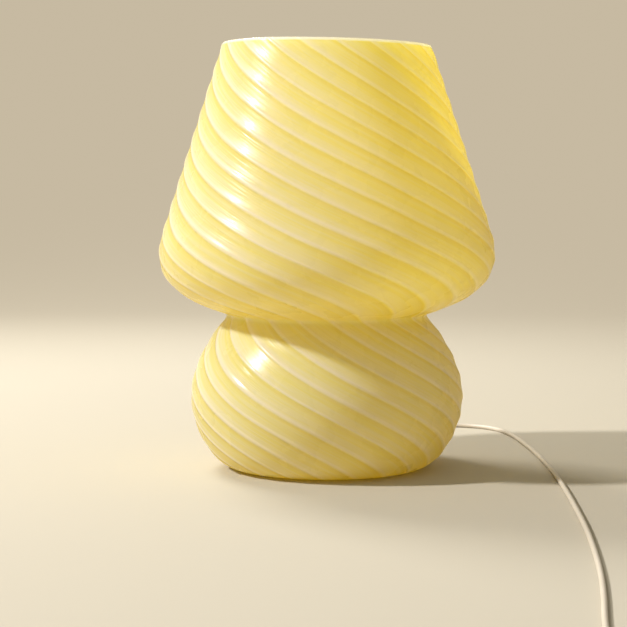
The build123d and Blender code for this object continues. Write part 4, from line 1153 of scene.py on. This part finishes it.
# ---------------------------------------------------------------- bulb and holder
@dataclass(frozen=True)
class Bulb:
    """Small opal globe bulb with a screw cap."""

    low: float = 0.0605
    radius: float = 0.0225
    neck: float = 0.0112
    centre: float = 0.116
    top: float = 0.1385
    wall: float = 0.0009
    collar_low: float = 0.0805
    collar_high: float = 0.0955
    cap_radius: float = 0.0068
    thread_pitch: float = 0.00282
    thread_depth: float = 0.0008
    grooves: int = 24
    groove_depth: float = 0.00035

    def globe(self) -> bpy.types.Object:
        """The glass globe, open at its neck.

        Returns:
            The finished piece.
        """
        centre, inner, neck_in = (0.0, self.centre), self.radius - self.wall, self.neck - self.wall
        bow = math.pi - math.asin(self.neck / self.radius)
        out = arc(centre, (self.radius, self.radius), bow, 40)[1:]
        back = arc(centre, (inner, inner), bow, 24)[::-1]
        foot = [(self.neck, self.collar_high), (neck_in, self.collar_high), (neck_in, back[0][1])]
        bm = turned([(0.0, self.top), *out, *foot, *back[1:]], 96)
        return piece(bm, "opal_globe", OPAL_GLASS, Body.BULB, ("bulb_globe",), smooth=1.0)

    def collar(self) -> bpy.types.Object:
        """The ribbed plastic collar under the globe.

        Returns:
            The finished piece.
        """
        low, high, lip = self.collar_low, self.collar_high, self.neck + 0.0009
        outline = [
            (0, low), (self.cap_radius + 0.0007, low), (self.cap_radius + 0.0007, low + 0.0012),
            *even((self.cap_radius + 0.0008, low + 0.0013), (lip, high - 0.004), 6),
            (lip, high - 0.004), (lip, high - 0.0006), (lip - 0.0005, high), (0, high),
        ]
        bm = turned(outline, 120)
        for vert in bm.verts:
            x, y, z = vert.co
            if low + 0.002 < z < high - 0.0042 and math.hypot(x, y) > self.cap_radius:
                pull_in(vert, self.groove_depth * max(0.0, math.cos(self.grooves * math.atan2(y, x))))
        return piece(bm, "ribbed_collar", COLLAR_PLASTIC, Body.BULB, ("bulb_collar",))

    def cap(self) -> bpy.types.Object:
        """The metal cap with its rolled thread.

        Returns:
            The finished piece.
        """
        low, high, radius = self.low + 0.0038, self.collar_low, self.cap_radius
        outline = [
            (0, low), (radius - 0.0014, low), (radius - 0.0005, low + 0.0006),
            *even((radius, low + 0.0016), (radius, high - 0.0005), 52),
            (radius, high - 0.0005), (radius, high), (0, high),
        ]
        bm = turned(outline, 80)
        threaded(bm, low + 0.0014, high - 0.002, self.thread_pitch, self.thread_depth, radius - 0.0002)
        return piece(bm, "screw_cap", CAP_METAL, Body.BULB, ("bulb_cap",), smooth=0.9)

    def tip(self) -> list[bpy.types.Object]:
        """The black insulator and the soldered contact at its end.

        Returns:
            The two finished pieces.
        """
        low, high, top = self.low + 0.0012, self.low + 0.0038, self.low + 0.0006
        cone = [(0, low), (0.003, low), (0.0036, low + 0.0006), (self.cap_radius - 0.0014, high), (0, high)]
        contact = [*arc((0.0, top), (0.0024, -0.0006), QUARTER, 8), (0.0024, low), (0, low)]
        return [
            piece(turned(cone, 64, 0.00015), "cap_insulator", BLACK_RESIN, Body.BULB, ("bulb_insulator",)),
            piece(turned(contact, 48), "cap_contact", CAP_METAL, Body.BULB, ("bulb_tip",)),
        ]

    def build(self) -> list[bpy.types.Object]:
        """Build and dress every piece of the bulb."""
        return [self.globe(), self.collar(), self.cap(), *self.tip()]


@dataclass(frozen=True)
class Holder:
    """Lampholder: bell-shaped cap on the tube and a ribbed sleeve that screws over it."""

    radius: float = 0.014
    wall: float = 0.0016
    cap_low: float = 0.0348
    joint: float = 0.0518
    sleeve_high: float = 0.0858
    flange: float = 0.0152
    bore: float = 0.0051
    neck: float = 0.0085
    neck_height: float = 0.0066
    grips: int = 36
    grip_depth: float = 0.0004
    thread_pitch: float = 0.0032
    thread_depth: float = 0.0007

    def bell(self) -> bpy.types.Object:
        """The lower cap, with grip ribs round its wide part.

        Returns:
            The finished piece.
        """
        low, neck, wide = self.cap_low, self.neck, self.radius
        neck_top, rim, spigot = low + self.neck_height, self.joint - 0.0001, self.joint + 0.003
        inner = wide - 2 * self.wall
        shoulder = neck_top + 0.45 * (self.joint - neck_top)
        seat = inner + self.wall - 0.0001
        bow = ((neck, neck_top), (neck + 0.001, neck_top + 0.001), (wide, shoulder - 0.002), (wide, shoulder))
        outline = [
            (self.bore, low), (neck, low), (neck, neck_top), *bent(bow, 6), *even((wide, shoulder), (wide, rim), 8),
            (wide, rim), (seat, rim), (seat, spigot), (inner, spigot), (inner, shoulder + self.wall),
            (self.bore, neck_top),
        ]
        bm = turned(outline, 144)
        self._grips(bm, shoulder + 0.001, self.joint - 0.001)
        return piece(bm, "holder_bell", HOLDER_PLASTIC, Body.LAMP, ("holder_cap",))

    def _grips(self, bm: bmesh.types.BMesh, low: float, high: float) -> None:
        """Cut shallow finger flutes round the outside between two heights.

        Args:
            bm: the bell.
            low: where the flutes start.
            high: where they end.
        """
        for vert in bm.verts:
            x, y, z = vert.co
            if math.hypot(x, y) > self.radius - 0.0005 and low <= z <= high:
                pull_in(vert, self.grip_depth * (0.5 - 0.5 * math.cos(self.grips * math.atan2(y, x))))

    def sleeve(self) -> bpy.types.Object:
        """The upper sleeve: a coarse outer thread and a flange round the bulb's collar.

        Returns:
            The finished piece.
        """
        low, high, wide, flange = self.joint, self.sleeve_high, self.radius, self.flange
        wall_in = wide - self.wall
        lip = ((flange, high - 0.001), (flange, high - 0.0002), (flange - 0.001, high))
        outline = [
            (wall_in, low), (wide - 0.0003, low), (wide, low + 0.0004),
            *even((wide, low + 0.001), (wide, high - 0.0022), 76),
            (wide, high - 0.0022), (flange, high - 0.002), lip[0], *bent(lip, 4), lip[-1],
            (wall_in + 0.0004, high), (wall_in, high - 0.0004),
        ]
        bm = turned(outline, 120)
        threaded(bm, low + 0.004, high - 0.004, self.thread_pitch, self.thread_depth, wide - 0.0003)
        return piece(bm, "threaded_sleeve", HOLDER_PLASTIC, Body.LAMP, ("holder_sleeve",), smooth=0.8)

    def build(self) -> list[bpy.types.Object]:
        """Build and dress the two turned pieces of the holder."""
        return [self.bell(), self.sleeve()]


# ---------------------------------------------------------------- cord, switch and plug
FRONT_ROW = -0.452
PLUG_REAR = -0.1374
PLUG_AXIS = 0.00685


@dataclass(frozen=True)
class CordLine:
    """The cord from the glass to the switch, and from there through its coil to the plug."""

    diameter: float = 0.0026
    run_length: float = 0.797
    lead_length: float = 0.727
    front: float = FRONT_ROW
    coil_x: float = -0.064
    coil_y: float = -0.431825
    coil_outer: float = 0.020175
    coil_pitch: float = 0.0031
    turns: int = 3
    points_per_turn: int = 16
    switch_left: float = -0.026
    switch_z: float = 0.0075
    plug_end: float = -0.1074
    plug_rear: float = PLUG_REAR
    plug_z: float = PLUG_AXIS

    def run_route(self, start: Vector, away: Vector) -> list[Place]:
        """Control points from the glass round to the switch.

        Args:
            start: where the cord leaves its bush.
            away: the direction in which it leaves.

        Returns:
            The points in metres.
        """
        lead = start + away * 0.016
        on_floor = [
            (13.0, 124.0), (32.0, 143.0), (58.0, 158.0), (82.0, 163.5), (101.0, 156.5), (112.5, 141.0),
            (117.8, 119.0), (120.8, 92.0), (123.4, 58.0), (125.3, 14.0), (126.0, -34.0), (125.0, -86.0),
            (123.0, -140.0), (120.6, -192.0), (117.0, -242.0), (112.6, -290.0), (107.0, -335.0),
            (101.5, -372.0), (98.0, -402.0), (92.0, -428.0),
        ]
        lie = self.diameter / 2
        return [
            tuple(start),
            tuple(lead),
            (0.003, 0.105, 0.0034),
            *((x * MM, y * MM, lie) for x, y in on_floor),
            (0.082, -0.444, 0.003),
            (0.066, self.front, self.switch_z),
            (0.054, self.front, self.switch_z),
        ]

    def lead_route(self) -> list[Place]:
        """Control points from the switch through the coil's two layers to the plug.

        Returns:
            The points in metres.
        """
        lie, top = self.diameter / 2, self.diameter / 2 + self.coil_pitch
        points = [
            (self.switch_left, self.front, self.switch_z),
            (-0.03485, self.front, self.switch_z),
            (-0.0490, self.front, lie),
            (-0.0575, self.front, lie),
        ]
        count = self.turns * self.points_per_turn
        half_turn = self.points_per_turn / 2
        inner = self.coil_outer - self.turns * self.coil_pitch
        growth = math.cos(math.pi / self.points_per_turn) ** 0.5
        for number in range(2 * count + 1):
            k = number if number <= count else number - count
            share, angle = k / count, -QUARTER - TURN * k / count * self.turns
            if number <= count:
                radius = self.coil_outer - share * (self.coil_outer - inner)
                z = lie + max(0.0, (k - count + half_turn) / half_turn) * self.coil_pitch
            else:
                radius, z = inner + share * (self.coil_outer - inner), top
            reach = radius / growth
            points.append((self.coil_x + reach * math.cos(angle), self.coil_y + reach * math.sin(angle), z))
        points += [
            (-0.0730, self.front, top),
            (-0.0829, self.front, top),
            (-0.0960, self.front, self.plug_z),
            (self.plug_end, self.front, self.plug_z),
            (self.plug_rear, self.front, self.plug_z),
        ]
        return points

    def build(self, bush: "Bush") -> list[bpy.types.Object]:
        """Args:
            bush: the rubber bush that the cord leaves through.

        Returns:
            The two curves.
        """
        radius = self.diameter / 2
        start = bush.mouth()
        run = tube("cord_to_switch", [self.run_route(start, bush.away)], radius, SHEATH, ("cord_run",))
        beyond = ("cord_tail", "cord_coil", "cord_end")
        lead = tube("cord_to_plug", [self.lead_route()], radius, SHEATH, beyond)
        switch = [name for name in frame["nodes"] if name.startswith("switch_")]
        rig.cord(
            run, exit=tuple(start), length=self.run_length, diameter=self.diameter, far_end="fitting",
            stiffness="medium", lay="loose",
            with_pieces=[*switch, "rocker_pusher", "contact_bar", "cord_clamps", "rocker_frame"],
        )
        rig.cord(
            lead, exit=(self.switch_left, self.front, self.switch_z), length=self.lead_length, diameter=self.diameter,
            far_end="plug", stiffness="medium", lay="coiled",
            with_pieces=["plug_pins", "pin_sleeves", "plug_shell", "plug_sleeve"],
        )
        return [run, lead]


@dataclass(frozen=True)
class Bush:
    """Rubber bush in the glass, with a flange on each side of the wall."""

    seat: Place = (0.0, 0.07113, 0.018)
    away: Vector = Vector((0.0, 0.889, -0.458)).normalized()
    bore: float = 0.00145
    body: float = 0.00408
    flange: float = 0.0062
    face: float = 0.00152
    inner: float = -0.004
    rounding: float = 0.00018

    def mouth(self) -> Vector:
        """Where the cord comes out of the bush."""
        return Vector(self.seat) + self.away * self.face

    def build(self) -> bpy.types.Object:
        """Build and dress the bush.

        Returns:
            The finished piece.
        """
        bore, body, flange, face, inner = self.bore, self.body, self.flange, self.face, self.inner
        outline = [
            (bore, inner - 0.0014), (body + 0.0005, inner - 0.0014), (body + 0.0014, inner),
            (body, inner), (body, 0.00012), (flange, 0.00012), (flange, face - 0.0005),
            (flange - 0.001, face), (bore + 0.0004, face), (bore, face - 0.0003),
        ]
        bm = carry(turned(outline, 56, self.rounding), facing(self.seat, self.away))
        return piece(bm, "rubber_bush", BUSH_RUBBER, Body.LAMP, ("cord_grommet",))


@dataclass(frozen=True)
class InnerLeads:
    """The cord's last stretch inside the base and its two cores up to the contact block."""

    radius: float = 0.0013
    core_radius: float = 0.0006
    coupling_z: float = 0.0258

    def build(self, bush: Bush) -> list[bpy.types.Object]:
        """Build and dress the leads.

        Args:
            bush: the bush that the cord comes in through.

        Returns:
            The cord's inner end and its cores.
        """
        start = bush.mouth()
        rise = 0.8 * (self.coupling_z - start.z) / -bush.away.z
        bend = start - bush.away * rise
        sag = Vector((0.0, 0.55 * bend.y, bend.z + 0.5 * (self.coupling_z - bend.z)))
        last = [(0.0, 0.0132, self.coupling_z), (0.0, 0.0036, self.coupling_z)]
        route = [tuple(start), tuple(bend), tuple(sag), *last]
        cores = [self._core(-1), self._core(1)]
        return [
            tube("inner_lead", [route], self.radius, SHEATH, ("inner_cord",)),
            tube("lead_cores", cores, self.core_radius, CORE_BROWN, ("core_wires",)),
        ]

    def _core(self, side: int) -> list[Place]:
        """Control points of one core, on one side of the tube.

        Args:
            side: -1 for the left core, 1 for the right one.

        Returns:
            The points in metres.
        """
        near, close, far = side * 0.0012, side * 0.00068, side * 0.004
        return [
            (close, 0.0036, self.coupling_z),
            (close, 0.0004, self.coupling_z),
            (near - side * 0.0001, 0.0, 0.0303),
            (near, 0.0001, 0.0408),
            (far, 0.0, 0.0493),
            (far, 0.0, 0.0528),
        ]


@dataclass(frozen=True)
class Plug:
    """Flat two-pin plug with a ringed sleeve."""

    rear: float = PLUG_REAR
    length: float = 0.034
    width: float = 0.035
    thickness: float = 0.0137
    rear_width: float = 0.019
    rear_thickness: float = 0.0115
    rounding: float = 0.0016
    stations: int = 10
    sleeve_root: float = 0.0046
    sleeve_tip: float = 0.002
    sleeve_length: float = 0.030
    rings: int = 5
    y: float = FRONT_ROW
    z: float = PLUG_AXIS

    def _section(self, bm: bmesh.types.BMesh, x: float, width: float, thickness: float) -> list[bmesh.types.BMEdge]:
        """One flat six-sided section as a loop of edges.

        Args:
            bm: the mesh to add to.
            x: where the section stands.
            width: its size along Y.
            thickness: its size along Z.

        Returns:
            The loop's edges.
        """
        half_w, half_t = width / 2, thickness / 2
        flat = half_w - 0.62 * half_t
        corners = [(flat, half_t), (half_w, 0), (flat, -half_t), (-flat, -half_t), (-half_w, 0), (-flat, half_t)]
        verts = [bm.verts.new((x, self.y + a, self.z + b)) for a, b in corners]
        return [bm.edges.new(pair) for pair in zip(verts, verts[1:] + verts[:1])]

    def shell(self) -> bpy.types.Object:
        """The moulded body, which widens from the cord to the pins.

        Returns:
            The finished piece.
        """
        bm = bmesh.new()
        loops = []
        for share in (k / self.stations for k in range(self.stations + 1)):
            bow = share * share * (3 - 2 * share)
            width = self.rear_width + bow * (self.width - self.rear_width)
            thick = self.rear_thickness + min(1.0, 1.6 * share) * (self.thickness - self.rear_thickness)
            loops.append(self._section(bm, self.rear - share * self.length, width, thick))
        for first, second in zip(loops, loops[1:]):
            bmesh.ops.bridge_loops(bm, edges=first + second)
        for loop in (loops[0], loops[-1]):
            bmesh.ops.contextual_create(bm, geom=loop)
        close_up(bm)
        round_edges(bm, self.rounding, segments=4)
        return piece(bm, "plug_shell", PLUG_SHELL, Body.LAMP, ("plug_body",), smooth=0.7)

    def sleeve(self) -> bpy.types.Object:
        """The tapered sleeve behind the plug, cut by rings.

        Returns:
            The finished piece.
        """
        root, tip, length = self.sleeve_root, self.sleeve_tip, self.sleeve_length
        ring = ((0.0, 0.0), (0.0007, 0.0003), (0.0008, 0.0013), (0.0001, 0.0016))
        outline: list[Point] = [(0, 0), (root, 0)]
        for k in range(self.rings):
            z = length * (0.2 + 0.14 * k)
            radius = root + (tip - root) * z / length
            outline += [(radius - deep, z + up) for deep, up in ring]
        outline += [(tip, length - 0.0004), (tip - 0.0004, length), (0, length)]
        bm = carry(turned(outline, 56), facing((self.rear, self.y, self.z), (1, 0, 0)))
        return piece(bm, "plug_sleeve", PLUG_SHELL, Body.LAMP, ("plug_relief",))

    def build(self) -> list[bpy.types.Object]:
        """Build and dress the plug's moulded pieces."""
        return [self.shell(), self.sleeve()]


@dataclass(frozen=True)
class SwitchTrim:
    """Low frame round the rocker's window, sunk a little into the cover."""

    x: float = 0.014
    y: float = FRONT_ROW
    top: float = 0.015
    half_x: float = 0.00735
    half_y: float = 0.00455
    width: float = 0.0012
    thickness: float = 0.0007
    sunk: float = 0.0002
    rounding: float = 0.00018

    def build(self) -> bpy.types.Object:
        """Build and dress the frame.

        Returns:
            The finished piece.
        """
        bm = bmesh.new()
        made = bmesh.ops.create_grid(bm, x_segments=1, y_segments=1, size=1.0)
        bmesh.ops.scale(bm, vec=(self.half_x + self.width, self.half_y + self.width, 1.0), verts=made["verts"])
        middle = bm.faces[:]
        bmesh.ops.inset_region(bm, faces=middle, use_boundary=True, thickness=self.width, depth=0.0)
        bmesh.ops.delete(bm, geom=middle, context="FACES")
        bmesh.ops.solidify(bm, geom=bm.faces[:], thickness=self.thickness)
        low = min(v.co.z for v in bm.verts)
        carry(bm, Matrix.Translation((self.x, self.y, self.top - self.sunk - low)))
        bmesh.ops.recalc_face_normals(bm, faces=bm.faces)
        round_edges(bm, self.rounding)
        return piece(bm, "rocker_frame", HOUSING, Body.LAMP)


# ---------------------------------------------------------------- the solids that stay
KEPT = {
    ZINC: (
        "fixing_nut", "lower_steel_washer", "upper_steel_washer", "lower_threaded_tube", "upper_threaded_tube",
        "holder_grub_screw", "switch_screws", "rocker_pusher",
    ),
    BLACK_RUBBER: ("lower_rubber_washer", "upper_rubber_washer"),
    BRASS: (
        "side_outlet_coupling", "socket_shell", "centre_contact", "terminal_screws", "contact_bar",
        "switch_terminals",
    ),
    STEATITE: ("holder_insert",),
    HOUSING: ("switch_base", "switch_cover", "switch_reliefs", "cord_clamps"),
    ROCKER_KEY: ("switch_rocker",),
    SHEATH: ("switch_leads",),
    NICKEL: ("plug_pins",),
    BLACK_RESIN: ("pin_sleeves",),
}


def dress_kept_solids() -> None:
    """Give every solid that stays in view its finish."""
    for finish, names in KEPT.items():
        for name in names:
            mesh = frame["nodes"][name].data
            mesh.materials.clear()
            mesh.materials.append(finish.material())


# ---------------------------------------------------------------- studio
BACKGROUND = (0.57, 0.49, 0.36)


@dataclass(frozen=True)
class SweepPaper(Surface):
    """Pale matt paper: it takes the lamp's shadow, and goes over into the even background far away."""

    near: float = 0.45
    far: float = 1.5

    def shade(self, tree: Tree, shader: bpy.types.Node, output: bpy.types.Node) -> None:
        """Fill the tree: lit paper near the lamp, the background's own tone beyond it.

        Args:
            tree: the material's tree.
            shader: its Principled shader.
            output: its output node.
        """
        tree.fill(shader, {"Base Color": self.colour, "Roughness": self.roughness})
        distance = tree.wire("ShaderNodeVectorMath", {0: tree.object_point()}, output=1, operation="LENGTH")
        share = tree.in_view() * tree.fade(distance, self.near, self.far)
        even_tone = tree.wire("ShaderNodeEmission", {"Color": BACKGROUND, "Strength": 1.0})
        tree.blend(output, share, tree.outs(shader)["BSDF"], even_tone)


@dataclass(frozen=True)
class SoftLight:
    """A square area light that looks at the middle of the lamp."""

    name: str
    at: Place
    size: float
    watts: float
    colour: Colour
    aim: Place = (0.0, 0.0, 0.12)

    def build(self) -> None:
        """Hang the light in the scene."""
        data = bpy.data.lights.new(self.name, "AREA")
        data.size = self.size
        data.energy = self.watts
        data.color = self.colour
        light = in_scene(self.name, data)
        light.location = self.at
        light.rotation_euler = (Vector(self.aim) - Vector(self.at)).to_track_quat("-Z", "Y").to_euler()


@dataclass(frozen=True)
class Studio:
    """A pale floor that runs up into a backdrop, a key from the left, a wide light behind and the camera."""

    paper: SweepPaper = SweepPaper("studio_paper", (0.52, 0.475, 0.385), 0.9)
    key: SoftLight = SoftLight("key", (-2.36, -0.64, 2.14), 0.22, 106.0, (1.0, 0.98, 0.97))
    back: SoftLight = SoftLight("back", (-0.75, 0.95, 1.35), 0.6, 23.0, (1.0, 0.99, 0.96))
    fill_colour: Colour = (0.98, 0.93, 0.77)
    fill_strength: float = 0.37
    camera_at: Place = (-0.0076, -1.068, 0.171)
    pitch_down: float = 4.47
    focal_px: float = 1887.0
    image_px: float = 627.0
    sensor: float = 36.0
    wall_y: float = 1.6
    cove: float = 0.5
    reach: float = 4.0

    def sweep(self) -> bpy.types.Object:
        """Floor and backdrop in one bent sheet.

        Returns:
            The sheet.
        """
        bm = bmesh.new()
        bend = arc((self.wall_y - self.cove, self.cove), (self.cove, -self.cove), QUARTER, 16)
        line = [(-self.reach, 0.0), *bend, (self.wall_y, self.reach)]
        verts = [bm.verts.new((-self.reach, y, z)) for y, z in line]
        edges = [bm.edges.new(pair) for pair in zip(verts, verts[1:])]
        made = bmesh.ops.extrude_edge_only(bm, edges=edges)
        moved = [v for v in made["geom"] if isinstance(v, bmesh.types.BMVert)]
        bmesh.ops.translate(bm, vec=(2 * self.reach, 0, 0), verts=moved)
        bmesh.ops.recalc_face_normals(bm, faces=bm.faces)
        mesh = as_mesh(bm, "studio_sweep")
        mesh.polygons.foreach_set("use_smooth", [True] * len(mesh.polygons))
        mesh.materials.append(self.paper.material())
        sheet = in_scene("studio_sweep", mesh)
        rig.stage(sheet)
        return sheet

    def lights(self) -> None:
        """The two lights, and an even fill from the world that looks like the background."""
        self.key.build()
        self.back.build()
        world = bpy.data.worlds.new("studio_world")
        world.use_nodes = True
        tree = Tree(world.node_tree)
        seen = tree.in_view()
        colour = tree.mix(seen, self.fill_colour, BACKGROUND)
        strength = tree.fade(seen, 0.0, 1.0, self.fill_strength, 1.0)
        tree.fill(world.node_tree.nodes["Background"], {"Color": colour, "Strength": strength})
        bpy.context.scene.world = world

    def camera(self) -> None:
        """The camera at the photograph's place and angle."""
        data = bpy.data.cameras.new("camera")
        data.sensor_width = self.sensor
        data.lens = self.sensor * self.focal_px / self.image_px
        data.clip_end = 20.0
        camera = in_scene("camera", data)
        camera.location = self.camera_at
        camera.rotation_euler = (math.radians(90 - self.pitch_down), 0.0, 0.0)
        bpy.context.scene.camera = camera

    def build(self) -> None:
        """Set up floor, lights, camera and view."""
        self.sweep()
        self.lights()
        self.camera()
        bpy.context.scene.view_settings.view_transform = "Standard"


def report(pieces: Iterable[bpy.types.Object]) -> None:
    """Log each piece with its count of faces."""
    for obj in pieces:
        solid = obj.type == "MESH"
        count = len(obj.data.polygons if solid else obj.data.splines)
        LOG.info("%s: %s, %d %s", obj.name, obj["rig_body"], count, "faces" if solid else "lines")


def main() -> None:
    """Build the lamp round the frame, in order, and report each piece."""
    logging.basicConfig(level=logging.INFO, format="%(name)s %(message)s")
    Studio().build()
    bush = Bush()
    dress_kept_solids()
    report([BlownGlass().build(), Feet().build()])
    report(Holder().build())
    report(Bulb().build())
    report([bush.build(), *InnerLeads().build(bush)])
    report(Plug().build())
    report([SwitchTrim().build()])
    report(CordLine().build(bush))
    visual_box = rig.bounds()
    with open("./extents.json", "w") as out:
        json.dump([[list(corner) for corner in CAD_BOX], [list(corner) for corner in visual_box]], out)


if __name__ == "__main__":
    main()
